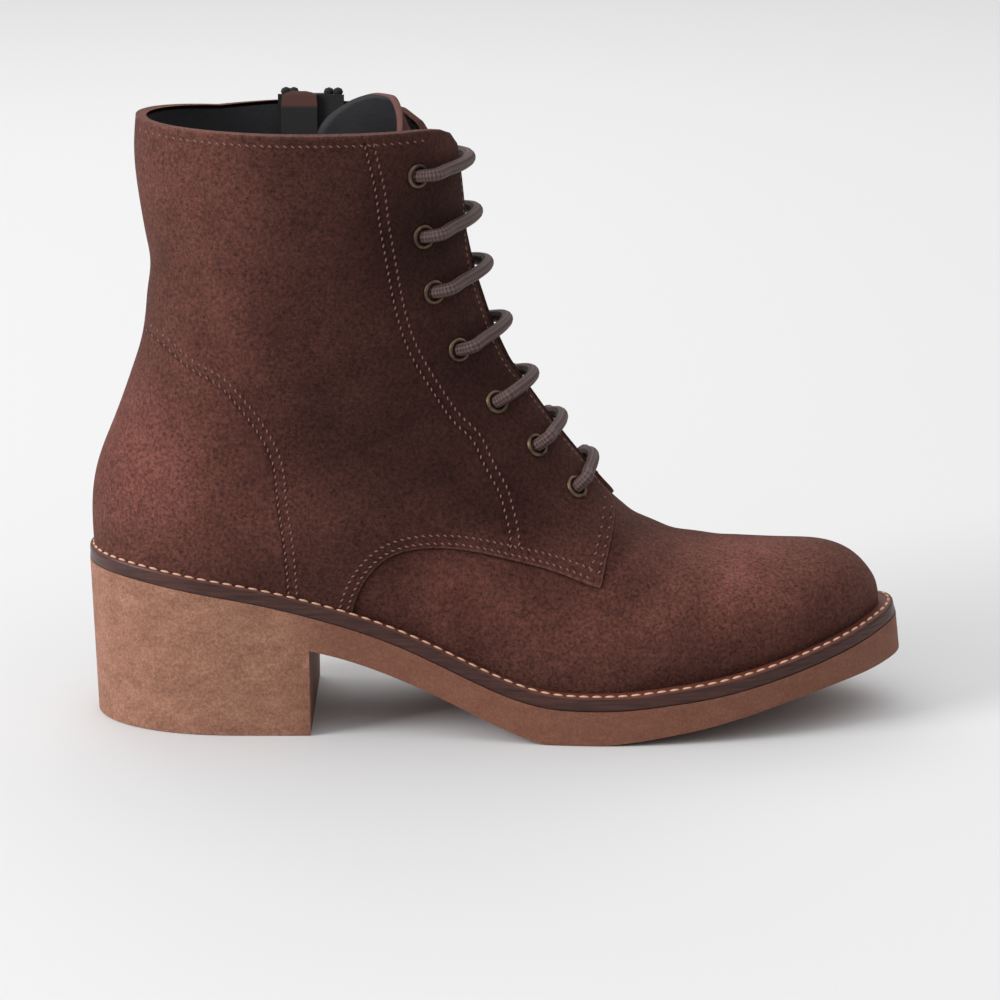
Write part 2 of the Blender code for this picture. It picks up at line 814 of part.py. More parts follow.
boolean(quarters, cutter("throat_front", throat_solid("throat_front", (8.4, 9.0, 9.7), CLEARANCE)))
boolean(upper, quarters, "UNION")
throat_rows = [THROAT_START] + [row for row in SKIN_ROWS if row > THROAT_START] + [25.2]
boolean(upper, cutter("throat", throat_solid("throat", throat_rows)))

# The bed that the upper stands on
rings = []
for turn in np.linspace(0, 1, LOOP_STATIONS):
    low = -WELT_THICKNESS * 3
    ring = []
    high = WELT_THICKNESS + CLEARANCE
    for side, up in ((-1, high), (1, high), (1, low), (-1, low)):
        ring.append(joint_point(side, turn, -WELT_LEDGE, up))
    rings.append(ring)
boolean(upper, cutter("bed", loft("bed", rings)))

# The collar line, outer and inner quarter
for name, table, y0, y1 in (
    ("outer_collar", OUTER_COLLAR, -FAR, -0.0005),
    ("inner_collar", INNER_COLLAR, 0.0005, FAR),
):
    line = [(FOOT_LENGTH * x, COLLAR_HEIGHT * (1 - fall)) for x, fall in table]
    line = [(-FAR, line[0][1])] + line
    line += [(line[-1][0], FAR), (-FAR, FAR)]
    boolean(upper, cutter(name, prism(name, line, y0, y1)))
low = COLLAR_HEIGHT * 1.001
middle = [(-FAR, low), (FOOT_LENGTH * 0.2, low), (FOOT_LENGTH * 0.2, FAR), (-FAR, FAR)]
boolean(upper, cutter("back_collar", prism("back_collar", middle, -0.001, 0.001)))

# Eyelets: turned rings seated in holes through the quarters
EYELET_STEPS = 10
hole_radius = EYELET_DIAMETER / 2 - 0.0007
barrel_radius = hole_radius - CLEARANCE
EYELET_DEPTH = WALL - CLEARANCE


def eyelet_mesh():
    """The ring's profile, turned about the hole's axis."""
    bore = EYELET_BORE / 2
    flange = EYELET_DIAMETER / 2
    base = QUARTER_STEP + CLEARANCE
    profile = [
        (bore, -EYELET_DEPTH),
        (barrel_radius, -EYELET_DEPTH),
        (barrel_radius, base),
        (flange, base),
        (flange - EYELET_HEIGHT * 0.4, base + EYELET_HEIGHT),
        (bore, base + EYELET_HEIGHT * 0.7),
    ]
    mesh = bpy.data.meshes.new("eyelet")
    n = len(profile)
    mesh.from_pydata([(r, 0.0, z) for r, z in profile], [(i, (i + 1) % n) for i in range(n)], [])
    return mesh


def place(point, normal, across):
    """A matrix with its Z along the normal and its X across."""
    x = Vector(across)
    z = Vector(normal)
    y = z.cross(x).normalized()
    x = y.cross(z).normalized()
    turned = Matrix((x, y, z)).transposed().to_4x4()
    turned.translation = Vector(point)
    return turned


holes = []
eyelet_places = []
for row, share in EYELETS:
    for side in (-1, 1):
        point, normal, over = skin_frame(row, side * share * BALL_WIDTH)
        eyelet_places.append((side, place(point, normal, over)))
for k, (side, turned) in enumerate(eyelet_places):
    number = k // 2 + 1
    name = "eyelet_%s_%d" % ("outer" if side < 0 else "inner", number)
    ring = bpy.data.objects.new(name, eyelet_mesh())
    ring.data.materials.append(BRASS)
    parts.objects.link(ring)
    ring.matrix_world = turned
    screw = ring.modifiers.new("turn", "SCREW")
    screw.steps = EYELET_STEPS
    screw.render_steps = EYELET_STEPS
    screw.use_merge_vertices = True
    screw.merge_threshold = 1e-6
    screw.use_normal_flip = True
    form = bmesh.new()
    bmesh.ops.create_cone(
        form, cap_ends=True, segments=EYELET_STEPS * 2,
        radius1=hole_radius, radius2=hole_radius, depth=0.016, matrix=turned,
    )
    mesh = bpy.data.meshes.new("hole")
    form.to_mesh(mesh)
    form.free()
    holes.append(mesh)
form = bmesh.new()
for mesh in holes:
    form.from_mesh(mesh)
mesh = bpy.data.meshes.new("eyelet_holes")
form.to_mesh(mesh)
form.free()
boolean(upper, cutter("eyelet_holes", mesh))

# Tongue: a curved sheet just inside the quarters, its top leaning back and to the inner side
TONGUE_COLUMNS = 10
TONGUE_ROWS = 15
half_width = Smooth(TONGUE, 1)


def tongue_point(across_share, row):
    way = BALL_WIDTH * (float(half_width(row)) * across_share + float(steady(TONGUE, 2, row)))
    point, normal, over = skin_frame(row, way)
    lean = BALL_WIDTH * steady(TONGUE, 3, row) * steady(TONGUE_TOP, 2, across_share)
    return point - normal * (WALL + TONGUE_FIT) - np.array([lean, 0.0, 0.0])


points = []
for i in range(TONGUE_ROWS + 1):
    for j in range(TONGUE_COLUMNS + 1):
        share = -1 + 2 * j / TONGUE_COLUMNS
        end = float(steady(TONGUE_TOP, 1, share))
        points.append(tongue_point(share, TONGUE_START + (end - TONGUE_START) * i / TONGUE_ROWS))
faces = []
for i in range(TONGUE_ROWS):
    for j in range(TONGUE_COLUMNS):
        a = i * (TONGUE_COLUMNS + 1) + j
        faces.append((a, a + 1, a + TONGUE_COLUMNS + 2, a + TONGUE_COLUMNS + 1))
tongue = add("tongue", mesh_of("tongue", points, faces), SUEDE)
solidify(tongue, TONGUE_THICKNESS)

# Laces: one bar across each pair of eyelets
LACE_POINTS = 13
for number, (row, share) in enumerate(EYELETS, 1):
    reach = share * BALL_WIDTH
    path = []
    for way in np.linspace(-reach, reach, LACE_POINTS):
        point, normal, over = skin_frame(row, way)
        near_end = max(0.0, 1 - (reach - abs(way)) / (EYELET_DIAMETER * 1.1))
        rise = QUARTER_STEP + CLEARANCE + LACE_DIAMETER / 2
        rise += (EYELET_HEIGHT + CLEARANCE) * min(1.0, near_end * 2.2)
        path.append(point + normal * rise)
    curve = bpy.data.curves.new("lace_bar_%d" % number, "CURVE")
    curve.dimensions = "3D"
    curve.bevel_depth = LACE_DIAMETER / 2
    curve.bevel_resolution = 2
    curve.use_fill_caps = True
    spline = curve.splines.new("POLY")
    spline.points.add(len(path) - 1)
    for knot, point in zip(spline.points, path):
        knot.co = (*point, 1.0)
    curve.materials.append(LACE)
    parts.objects.link(bpy.data.objects.new("lace_bar_%d" % number, curve))

# Zip on the inner side: teeth on a stem in the slot, tape inside the wall
ZIP_STATIONS = 21


def zip_frame(share):
    """Point, normal, along and across on the zip's line, at a height share of COLLAR_HEIGHT."""
    flipped = tuple((z, x) for x, z in ZIP_LINE)
    line = Smooth(flipped, 1)
    z = share * COLLAR_HEIGHT
    x = FOOT_LENGTH * float(line(share))
    ahead = FOOT_LENGTH * float(line(share + 0.005))
    point, normal = side_frame(1, x, z)
    next_point, _ = side_frame(1, ahead, z + 0.005 * COLLAR_HEIGHT)
    along = next_point - point
    along /= np.linalg.norm(along)
    over = np.cross(along, normal)
    return point, normal, along, over / np.linalg.norm(over)


def zip_ring(share, profile):
    """A profile of places across the zip and heights above the skin, wrapped round the skin."""
    point, normal, _, over = zip_frame(share)
    ring = []
    for a, d in profile:
        near = side_point(1, point[0] + over[0] * a, point[2] + over[2] * a)
        ring.append(near + normal * d)
    return ring


zip_bottom = ZIP_LINE[0][1]
zip_top = 1.0 + ZIP_TAPE_RISE / COLLAR_HEIGHT
stem = ZIP_STEM / 2
teeth = ZIP_TEETH / 2
tape = ZIP_TAPE_WIDTH / 2
face = QUARTER_STEP - 0.0006
tape_top = -(WALL + ZIP_FIT)
tape_low = tape_top - ZIP_TAPE_THICKNESS
profile = [
    (-teeth, face + ZIP_TEETH_HEIGHT), (teeth, face + ZIP_TEETH_HEIGHT), (teeth, face), (stem, face),
    (stem, tape_top), (tape / 2, tape_top), (tape, tape_top),
    (tape, tape_low), (tape / 2, tape_low), (0.0, tape_low), (-tape / 2, tape_low), (-tape, tape_low),
    (-tape, tape_top), (-tape / 2, tape_top), (-stem, tape_top), (-stem, face), (-teeth, face),
]
shares = np.linspace(zip_bottom, zip_top, ZIP_STATIONS)
zip_chain = add("zip_chain", loft("zip_chain", [zip_ring(s, profile) for s in shares]), ZIP_CLOTH)
slot = stem + 2 * CLEARANCE
slot_profile = [(-slot, 0.006), (slot, 0.006), (slot, -0.006), (-slot, -0.006)]
slot_shares = [zip_bottom - CLEARANCE / COLLAR_HEIGHT] + list(shares[1:]) + [zip_top + 0.03]
boolean(upper, cutter("zip_slot", loft("zip_slot", [zip_ring(s, slot_profile) for s in slot_shares])))

# Guard: a leather strip behind the zip, its round top above the collar
guard_top = tape_low - 3 * CLEARANCE
guard_low = guard_top - GUARD_THICKNESS
guard_shift = GUARD_WIDTH * 0.3
guard_rise = GUARD_RISE / COLLAR_HEIGHT
rings = []
for share, narrow in (
    (0.52, 1.0),
    (0.60, 1.0),
    (0.70, 1.0),
    (0.85, 1.0),
    (0.95, 1.0),
    (0.985, 1.0),
    (1.0 + guard_rise * 0.2, 0.94),
    (1.0 + guard_rise * 0.7, 0.72),
    (1.0 + guard_rise, 0.36),
):
    half = GUARD_WIDTH / 2 * narrow
    middle = guard_shift
    rings.append(zip_ring(share, [(middle - half, guard_top), (middle + half, guard_top),
                                  (middle + half, guard_low), (middle - half, guard_low)]))
zip_guard = add("zip_guard", loft("zip_guard", rings), SUEDE)

# Slider at the top of the zip, with a bored lug for the pull tab's pin
point, normal, along, over = zip_frame(SLIDER_PLACE)
tilt = math.atan2(-along[1], along[2])
slider_face = face + ZIP_TEETH_HEIGHT + CLEARANCE
slider_origin = Vector(point) + Vector(normal) * slider_face
slider_turn = Matrix.Rotation(tilt, 4, "X")
slider_turn.translation = slider_origin


def box_mesh(name, low, high):
    form = bmesh.new()
    bmesh.ops.create_cube(form, size=1.0)
    for vertex in form.verts:
        vertex.co = [low[k] + (vertex.co[k] + 0.5) * (high[k] - low[k]) for k in range(3)]
    mesh = bpy.data.meshes.new(name)
    form.to_mesh(mesh)
    form.free()
    return mesh


def rod_mesh(name, radius, length, centre, steps=12):
    form = bmesh.new()
    turned = Matrix.Translation(centre) @ Matrix.Rotation(math.radians(90), 4, "Y")
    bmesh.ops.create_cone(
        form, cap_ends=True, segments=steps,
        radius1=radius, radius2=radius, depth=length, matrix=turned,
    )
    mesh = bpy.data.meshes.new(name)
    form.to_mesh(mesh)
    form.free()
    return mesh


half = SLIDER_WIDTH / 2
slider_low = (-half, 0.0, -SLIDER_LENGTH / 2)
slider_high = (half, SLIDER_THICKNESS, SLIDER_LENGTH / 2)
slider = add("zip_slider", box_mesh("zip_slider", slider_low, slider_high), ZIP_METAL)
slider.matrix_world = slider_turn
lug_low = (-LUG_WIDTH / 2, SLIDER_THICKNESS / 2, -0.0016)
lug_high = (LUG_WIDTH / 2, SLIDER_THICKNESS + LUG_HEIGHT, 0.0016)
lug = cutter("lug", box_mesh("lug", lug_low, lug_high))
lug.matrix_world = slider_turn
boolean(slider, lug, "UNION")
pin_centre = Vector((0.0, SLIDER_THICKNESS + LUG_HEIGHT - 0.0012, 0.0))
bore_radius = (PIN_DIAMETER / 2 + PIN_PLAY) / math.cos(math.pi / 12)
bore = cutter("pin_bore", rod_mesh("pin_bore", bore_radius, LUG_WIDTH * 3, pin_centre))
bore.matrix_world = slider_turn
boolean(slider, bore)

# Pull tab: hangs from its pin, its origin on the pin's axis
pin_world = slider_turn @ pin_centre
slot_half = LUG_WIDTH / 2 + CLEARANCE
half = PULL_WIDTH / 2
above = PIN_DIAMETER / 2 + 0.0006
pull_low = (-half, -PULL_THICKNESS / 2, -PULL_LENGTH)
pull_high = (half, PULL_THICKNESS / 2, above)
pull = add("zip_pull", box_mesh("zip_pull", pull_low, pull_high), ZIP_METAL)
pull.matrix_world = Matrix.Translation(pin_world)
fork = cutter("pull_fork", box_mesh("pull_fork", (-slot_half, -0.01, -0.0058), (slot_half, 0.01, 0.01)))
fork.matrix_world = pull.matrix_world
boolean(pull, fork)
eye_low = (-half * 0.45, -0.01, -PULL_LENGTH * 0.88)
eye_high = (half * 0.45, 0.01, -PULL_LENGTH * 0.55)
eye = cutter("pull_eye", box_mesh("pull_eye", eye_low, eye_high))
eye.matrix_world = pull.matrix_world
boolean(pull, eye)
pin_length = 2 * slot_half + PULL_WIDTH * 0.3
pin = cutter("pull_pin", rod_mesh("pull_pin", PIN_DIAMETER / 2, pin_length, Vector((0, 0, 0))))
pin.matrix_world = pull.matrix_world
boolean(pull, pin, "UNION")

# Everything hangs on an empty at the middle of the outsole's box, on the floor
corners = np.array([vertex.co for vertex in outsole.data.vertices])
centre = (corners.min(axis=0) + corners.max(axis=0)) / 2
stand = bpy.data.objects.new("stand", None)
tools.objects.link(stand)
for made in list(parts.objects) + list(tools.objects):
    if made is not stand:
        made.parent = stand
stand.location = (-centre[0], -centre[1], 0.0)
bpy.context.view_layer.update()
print("centre", centre, "pin", pull.matrix_world.translation)
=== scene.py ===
# %% [markdown]
# # A lace-up ankle boot
# The boot is a hollow leather upper on a welt and a rubber outsole with a block heel. It has seven
# pairs of eyelets, one lace, a tongue, and a zip on the inner side.
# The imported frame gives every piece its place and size. It could be shaded as it is, but its leather
# has no seams and its walls are coarse. So this lesson builds the leather again from the same
# tables, much finer, and cuts each panel along its own seam line.

# %% Start from the frame
import math

import bmesh
import bpy
import numpy as np
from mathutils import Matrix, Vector


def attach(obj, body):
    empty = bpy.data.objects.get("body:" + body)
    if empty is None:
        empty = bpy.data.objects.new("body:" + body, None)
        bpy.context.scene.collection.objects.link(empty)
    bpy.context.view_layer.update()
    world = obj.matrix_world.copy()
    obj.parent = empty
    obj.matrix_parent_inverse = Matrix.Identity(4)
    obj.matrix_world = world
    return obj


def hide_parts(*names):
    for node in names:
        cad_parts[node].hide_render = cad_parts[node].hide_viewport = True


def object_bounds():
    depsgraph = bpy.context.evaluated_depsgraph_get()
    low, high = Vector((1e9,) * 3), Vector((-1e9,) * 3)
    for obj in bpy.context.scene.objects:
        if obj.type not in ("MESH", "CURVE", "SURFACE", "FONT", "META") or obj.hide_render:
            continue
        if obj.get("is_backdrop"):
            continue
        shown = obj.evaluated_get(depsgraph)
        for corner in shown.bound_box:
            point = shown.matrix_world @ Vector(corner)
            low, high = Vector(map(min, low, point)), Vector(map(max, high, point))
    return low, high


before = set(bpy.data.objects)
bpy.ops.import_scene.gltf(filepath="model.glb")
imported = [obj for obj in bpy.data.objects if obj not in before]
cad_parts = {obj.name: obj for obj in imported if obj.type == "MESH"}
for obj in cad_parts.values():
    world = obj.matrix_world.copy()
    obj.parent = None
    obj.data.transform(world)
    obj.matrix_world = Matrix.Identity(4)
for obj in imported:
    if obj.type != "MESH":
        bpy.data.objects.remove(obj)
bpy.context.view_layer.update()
print("nodes in the frame:", len(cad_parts))

# %% [markdown]
# ## Sizes
# A shoemaker works from a last, a wooden foot of a known length and ball width. The boot's shape
# could be sculpted by eye, but then no size could be changed. Here every shape hangs on a few named
# lengths, in metres, with the toe towards +X, the inner side towards +Y and the floor at z = 0.

# %% Driving sizes
FOOT_LENGTH = 0.2700
BALL_WIDTH = 0.0914
HEEL_WIDTH = 0.0680
COLLAR_HEIGHT = 0.1995
SEAT_HEIGHT = 0.0511
HEEL_LENGTH = 0.0752
JOINT_LENGTH = 0.2685
WELT_THICKNESS = 0.0048
WELT_LEDGE = 0.0052
WALL = 0.0020
QUARTER_STEP = 0.0014
print("sole in mm:", round(FOOT_LENGTH * 1000), "collar in mm:", round(COLLAR_HEIGHT * 1000))

# %% [markdown]
# ## Curves through tables
# A few numbers in a table say where a line runs, and a curve has to be put through them. Straight
# pieces would leave corners in the leather. A cubic spline bends softly and is right for the foot's
# form. It can swing past its points, so a second, steadier curve serves where flat has to stay flat.

# %% Two kinds of curve
class Smooth:
    """A smooth curve through a table's column, straight on past both ends."""

    def __init__(self, table, column):
        self.x = np.array([row[0] for row in table], float)
        self.y = np.array([row[column] for row in table], float)
        step = np.diff(self.x)
        rise = np.diff(self.y) / step
        system = np.eye(len(self.x))
        right = np.zeros(len(self.x))
        for i in range(1, len(self.x) - 1):
            system[i, i - 1 : i + 2] = step[i - 1], 2 * (step[i - 1] + step[i]), step[i]
            right[i] = 6 * (rise[i] - rise[i - 1])
        self.bend = np.linalg.solve(system, right)

    def __call__(self, at):
        inside = np.clip(at, self.x[0], self.x[-1])
        i = np.clip(np.searchsorted(self.x, inside) - 1, 0, len(self.x) - 2)
        step = self.x[i + 1] - self.x[i]
        a = (self.x[i + 1] - inside) / step
        b = 1 - a
        value = a * self.y[i] + b * self.y[i + 1]
        value = value + ((a**3 - a) * self.bend[i] + (b**3 - b) * self.bend[i + 1]) * step**2 / 6
        slope = (self.y[i + 1] - self.y[i]) / step
        slope = slope + ((1 - 3 * a**2) * self.bend[i] + (3 * b**2 - 1) * self.bend[i + 1]) * step / 6
        return value + slope * (at - inside)


def steady(table, column, at):
    """A curve through a table's column that never swings past its values."""
    x = np.array([row[0] for row in table], float)
    y = np.array([row[column] for row in table], float)
    step = np.diff(x)
    rise = np.diff(y) / step
    slope = np.zeros(len(x))
    for i in range(1, len(x) - 1):
        if rise[i - 1] * rise[i] > 0:
            w1 = 2 * step[i] + step[i - 1]
            w2 = step[i] + 2 * step[i - 1]
            slope[i] = (w1 + w2) / (w1 / rise[i - 1] + w2 / rise[i])
    slope[0] = rise[0]
    slope[-1] = rise[-1]
    at = np.clip(at, x[0], x[-1])
    i = int(np.clip(np.searchsorted(x, at) - 1, 0, len(x) - 2))
    h = step[i]
    a = (at - x[i]) / h
    value = (1 + 2 * a) * (1 - a) ** 2 * y[i] + a * (1 - a) ** 2 * h * slope[i]
    return value + a * a * (3 - 2 * a) * y[i + 1] + a * a * (a - 1) * h * slope[i + 1]


print("halfway up a step:", float(steady(((0.0, 0.0), (1.0, 1.0)), 1, 0.5)))

# %% [markdown]
# ## The line of the sole
# Upper and outsole meet on the welt, and that joint rises from the ball to the heel seat. The sole
# could be modelled bent, but it is easier flat: its outline is drawn as seen from above, and every
# point is then lifted onto the joint's curve and tilted with it.

# %% Tables of joint and outline
# The joint between outsole and welt.
# Columns: place along JOINT_LENGTH, height as a share of SEAT_HEIGHT
JOINT = (
    (0.0000, 1.0215),
    (0.0298, 1.0157),
    (0.0726, 0.9961),
    (0.1359, 0.9472),
    (0.2097, 0.8787),
    (0.2708, 0.8004),
    (0.3277, 0.7123),
    (0.3855, 0.6008),
    (0.4469, 0.4540),
    (0.5091, 0.3131),
    (0.5587, 0.2407),
    (0.6071, 0.2231),
    (0.6555, 0.2290),
    (0.7076, 0.2564),
    (0.7561, 0.2877),
    (0.8082, 0.3386),
    (0.8741, 0.4227),
    (0.9385, 0.5147),
    (1.0000, 0.6067),
)

# The sole's edge seen from above.
# Columns: turn from the back of the heel (0) to the tip of the toe (1),
# outer edge and inner edge as shares of BALL_WIDTH
OUTLINE = (
    (0.0000, 0.0000, 0.0000),
    (0.0871, -0.1685, 0.1685),
    (0.1236, -0.2319, 0.2298),
    (0.1760, -0.3063, 0.3020),
    (0.2280, -0.3567, 0.3479),
    (0.2717, -0.3742, 0.3589),
    (0.3135, -0.3764, 0.3567),
    (0.3545, -0.3764, 0.3468),
    (0.3931, -0.3786, 0.3348),
    (0.4301, -0.3873, 0.3348),
    (0.4661, -0.4048, 0.3523),
    (0.5018, -0.4333, 0.3895),
    (0.5374, -0.4595, 0.4398),
    (0.5736, -0.4748, 0.4858),
    (0.6057, -0.4770, 0.5142),
    (0.6363, -0.4683, 0.5241),
    (0.6711, -0.4486, 0.5164),
    (0.7054, -0.4201, 0.4945),
    (0.7461, -0.3742, 0.4573),
    (0.7887, -0.3129, 0.4026),
    (0.8309, -0.2429, 0.3435),
    (0.8733, -0.1619, 0.2757),
    (0.9086, -0.0920, 0.2180),
    (0.9385, -0.0405, 0.1690),
    (0.9650, 0.0048, 0.1264),
    (0.9850, 0.0396, 0.0916),
    (1.0000, 0.0656, 0.0656),
)

# How far the welt stands proud of the upper.
# Columns: turn as above, share of WELT_LEDGE
LEDGE = (
    (0.00, 0.52),
    (0.20, 0.54),
    (0.38, 0.62),
    (0.50, 0.85),
    (0.60, 1.00),
    (0.82, 1.00),
    (0.92, 0.96),
    (1.00, 0.90),
)
print("places along the joint:", len(JOINT))

# %% Points of the sole
joint_curve = Smooth(JOINT, 1)
edge_curves = {-1: Smooth(OUTLINE, 1), 1: Smooth(OUTLINE, 2)}
ledge_curve = Smooth(LEDGE, 1)


def joint_height(x):
    return SEAT_HEIGHT * joint_curve(x / JOINT_LENGTH)


def joint_tilt(x):
    reach = 0.0005
    return math.atan2(joint_height(x + reach) - joint_height(x - reach), 2 * reach)


def sole_point(x, y, up):
    """A point of the flat sole, bent onto the joint's curve."""
    tilt = joint_tilt(x)
    return np.array([x - up * math.sin(tilt), y, joint_height(x) + up * math.cos(tilt)])


def edge_point(side, turn):
    x = JOINT_LENGTH * (1 - math.cos(math.pi * turn)) / 2
    return np.array([x, BALL_WIDTH * edge_curves[side](turn)])


def inset_point(side, turn, inset):
    """The sole's edge moved inwards, seen from above."""
    reach = 1e-4
    if turn < reach:
        along = np.array([0.0, side])
    elif turn > 1 - reach:
        along = np.array([0.0, -side])
    else:
        along = edge_point(side, turn + reach) - edge_point(side, turn - reach)
        along /= np.linalg.norm(along)
    inwards = np.array([along[1], -along[0]]) * side
    return edge_point(side, turn) + inset * inwards


def feather_point(side, turn, inset=0.0, up=0.0):
    """The foot line of the upper on the welt."""
    x, y = inset_point(side, turn, WELT_LEDGE * ledge_curve(turn) + inset)
    return sole_point(x, y, WELT_THICKNESS + up)


print("rise of the heel seat in mm:", round(float(joint_height(0.0)) * 1000, 1))

# %% [markdown]
# ## The form of the upper
# Leather is pulled over the last, so the upper has one smooth form. It could be lofted from level
# slices, but the instep slopes and slices would tear at the toe. Fan sections suit it better: each
# is a line from the ridge of the foot down to the welt, and it turns from upright at the toe to level
# at the collar. Its width rises to the widest place and falls again with a power curve.

# %% Tables of the fan sections
# The back seam of the upper.
# Columns: rise from the seat (0) to the collar (1), x as a share of FOOT_LENGTH
BACK = (
    (0.000, 0.0096),
    (0.090, 0.0089),
    (0.150, 0.0122),
    (0.213, 0.0211),
    (0.286, 0.0370),
    (0.364, 0.0533),
    (0.420, 0.0641),
    (0.482, 0.0748),
    (0.550, 0.0815),
    (0.630, 0.0863),
    (0.700, 0.0852),
    (0.780, 0.0800),
    (0.860, 0.0748),
    (0.930, 0.0733),
    (1.000, 0.0763),
)

# Fan sections of the upper, from the tip of the toe to the collar. Each runs from the ridge down
# to the foot line, which turns from the toe (0) to the heel's back (1) and climbs to the collar (2).
# Columns: ridge x as a share of FOOT_LENGTH, ridge rise from SEAT_HEIGHT to COLLAR_HEIGHT,
# ridge y as a share of BALL_WIDTH, foot line, widest place down the section, roundness above it,
# roundness below it
SECTIONS = (
    (0.9726, -0.1072, 0.0635, 0.0000, 0.70, 2.00, 2.00),
    (0.9689, -0.0681, 0.0635, 0.0485, 0.70, 2.00, 2.20),
    (0.9585, -0.0343, 0.0613, 0.0930, 0.71, 2.00, 2.30),
    (0.9363, 0.0033, 0.0580, 0.1408, 0.72, 2.00, 2.40),
    (0.9000, 0.0256, 0.0536, 0.1900, 0.72, 2.00, 2.40),
    (0.8519, 0.0276, 0.0470, 0.2445, 0.71, 2.00, 2.40),
    (0.7889, 0.0330, 0.0350, 0.3028, 0.69, 2.00, 2.30),
    (0.7296, 0.0485, 0.0219, 0.3542, 0.67, 2.00, 2.20),
    (0.6844, 0.0815, 0.0109, 0.4018, 0.65, 1.95, 2.20),
    (0.6459, 0.1328, 0.0033, 0.4571, 0.62, 1.90, 2.20),
    (0.6141, 0.1981, -0.0022, 0.5210, 0.60, 1.85, 2.20),
    (0.5867, 0.2621, -0.0044, 0.5882, 0.58, 1.85, 2.20),
    (0.5622, 0.3227, -0.0044, 0.6656, 0.57, 1.85, 2.20),
    (0.5415, 0.3800, -0.0033, 0.7593, 0.57, 1.85, 2.20),
    (0.5278, 0.4205, -0.0022, 0.8656, 0.57, 1.85, 2.10),
    (0.5178, 0.4542, -0.0011, 1.0000, 0.57, 1.85, 2.10),
    (0.5067, 0.4980, 0.0000, 1.0930, 0.56, 1.85, 2.10),
    (0.4956, 0.5486, 0.0000, 1.1930, 0.55, 1.85, 2.10),
    (0.4859, 0.5991, 0.0000, 1.2930, 0.54, 1.85, 2.05),
    (0.4763, 0.6530, 0.0000, 1.3930, 0.54, 1.85, 2.00),
    (0.4685, 0.7137, 0.0000, 1.4930, 0.54, 1.85, 2.00),
    (0.4615, 0.7810, 0.0000, 1.5930, 0.54, 1.85, 2.00),
    (0.4556, 0.8551, 0.0000, 1.7210, 0.54, 1.85, 2.00),
    (0.4511, 0.9226, 0.0000, 1.8640, 0.54, 1.85, 2.00),
    (0.4474, 0.9845, 0.0000, 2.0000, 0.54, 1.85, 2.00),
)

# How far the sections swell past their foot line.
# Columns: section row, bulge as a share of HEEL_WIDTH
BULGE = (
    (0, 0.0000),
    (1, 0.0382),
    (2, 0.0676),
    (3, 0.0971),
    (4, 0.1235),
    (5, 0.1412),
    (6, 0.1529),
    (7, 0.1618),
    (8, 0.1735),
    (9, 0.1853),
    (10, 0.1971),
    (11, 0.2059),
    (12, 0.2158),
    (13, 0.2322),
    (13.5, 0.3032),
    (14, 0.3929),
    (14.25, 0.4355),
    (14.5, 0.4683),
    (14.75, 0.4869),
    (15, 0.4926),
    (15.5, 0.4926),
    (16, 0.4926),
    (17, 0.4941),
    (18, 0.4971),
    (19, 0.5000),
    (20, 0.5059),
    (21, 0.5147),
    (22, 0.5294),
    (23, 0.5471),
    (24, 0.5647),
)
print("fan sections:", len(SECTIONS))

# %% One section, and a place on the skin
back_curve = Smooth(BACK, 1)
numbered_sections = tuple((i,) + row for i, row in enumerate(SECTIONS))
section_curves = [Smooth(numbered_sections, k) for k in range(1, 8)]
bulge_curve = Smooth(BULGE, 1)


def foot_point(side, place):
    if place <= 1:
        return feather_point(side, 1 - place)
    seat = feather_point(side, 0.0)
    rise = place - 1
    height = seat[2] + rise * (COLLAR_HEIGHT - seat[2])
    shift = seat[0] - FOOT_LENGTH * back_curve(0)
    return np.array([FOOT_LENGTH * back_curve(rise) + shift * (1 - rise), 0.0, height])


def section(row, side, count=60):
    """One fan section of the upper's outside from the ridge to its foot, and the way along it."""
    x, rise, y, place, widest, top, low = [float(curve(row)) for curve in section_curves]
    bulge = float(bulge_curve(row))
    ridge_height = SEAT_HEIGHT + rise * (COLLAR_HEIGHT - SEAT_HEIGHT)
    ridge = np.array([FOOT_LENGTH * x, BALL_WIDTH * y, ridge_height])
    near = foot_point(side, place)
    far = foot_point(-side, place)
    if row <= 0:
        ridge = near.copy()
    end = abs(near[1] - far[1]) / 2
    middle = (near[1] + far[1]) / 2
    half = math.hypot(end, HEEL_WIDTH * bulge) + 1e-9
    s = (1 - np.cos(np.pi * np.linspace(0, 1, count))) / 2
    k = (1 - (end / half) ** 2) ** (1 / low)
    stop = widest + (1 - widest) / max(k, 1e-6)
    above = 1 - np.clip((widest - s) / widest, 0, 1) ** top
    below = 1 - np.clip((s - widest) / (stop - widest), 0, 1) ** low
    width = half * np.sqrt(np.clip(np.where(s < widest, above, below), 0, 1))
    points = np.stack([
        ridge[0] + s * (near[0] - ridge[0]),
        ridge[1] + s * (middle - ridge[1]) + side * width,
        ridge[2] + s * (near[2] - ridge[2]),
    ], axis=1)
    lengths = np.linalg.norm(np.diff(points, axis=0), axis=1)
    return points, np.concatenate([[0], np.cumsum(lengths)])


def skin_point(row, side, way):
    """The point of the upper's outside on one section, this way round from the ridge."""
    points, along = section(row, side)
    return np.array([np.interp(way, along, points[:, k]) for k in range(3)])


def skin_frame(row, way):
    """Point, outward normal and direction across at a way round, negative on the outer side."""
    def at(r, w):
        return skin_point(r, 1 if w >= 0 else -1, abs(w))

    across = at(row, way + 0.0006) - at(row, way - 0.0006)
    back = at(row + 0.03, way) - at(row - 0.03, way)
    normal = np.cross(across, back)
    return at(row, way), normal / np.linalg.norm(normal), across / np.linalg.norm(across)


print("way round the instep to the foot line in mm:", round(section(12, -1)[1][-1] * 1000))

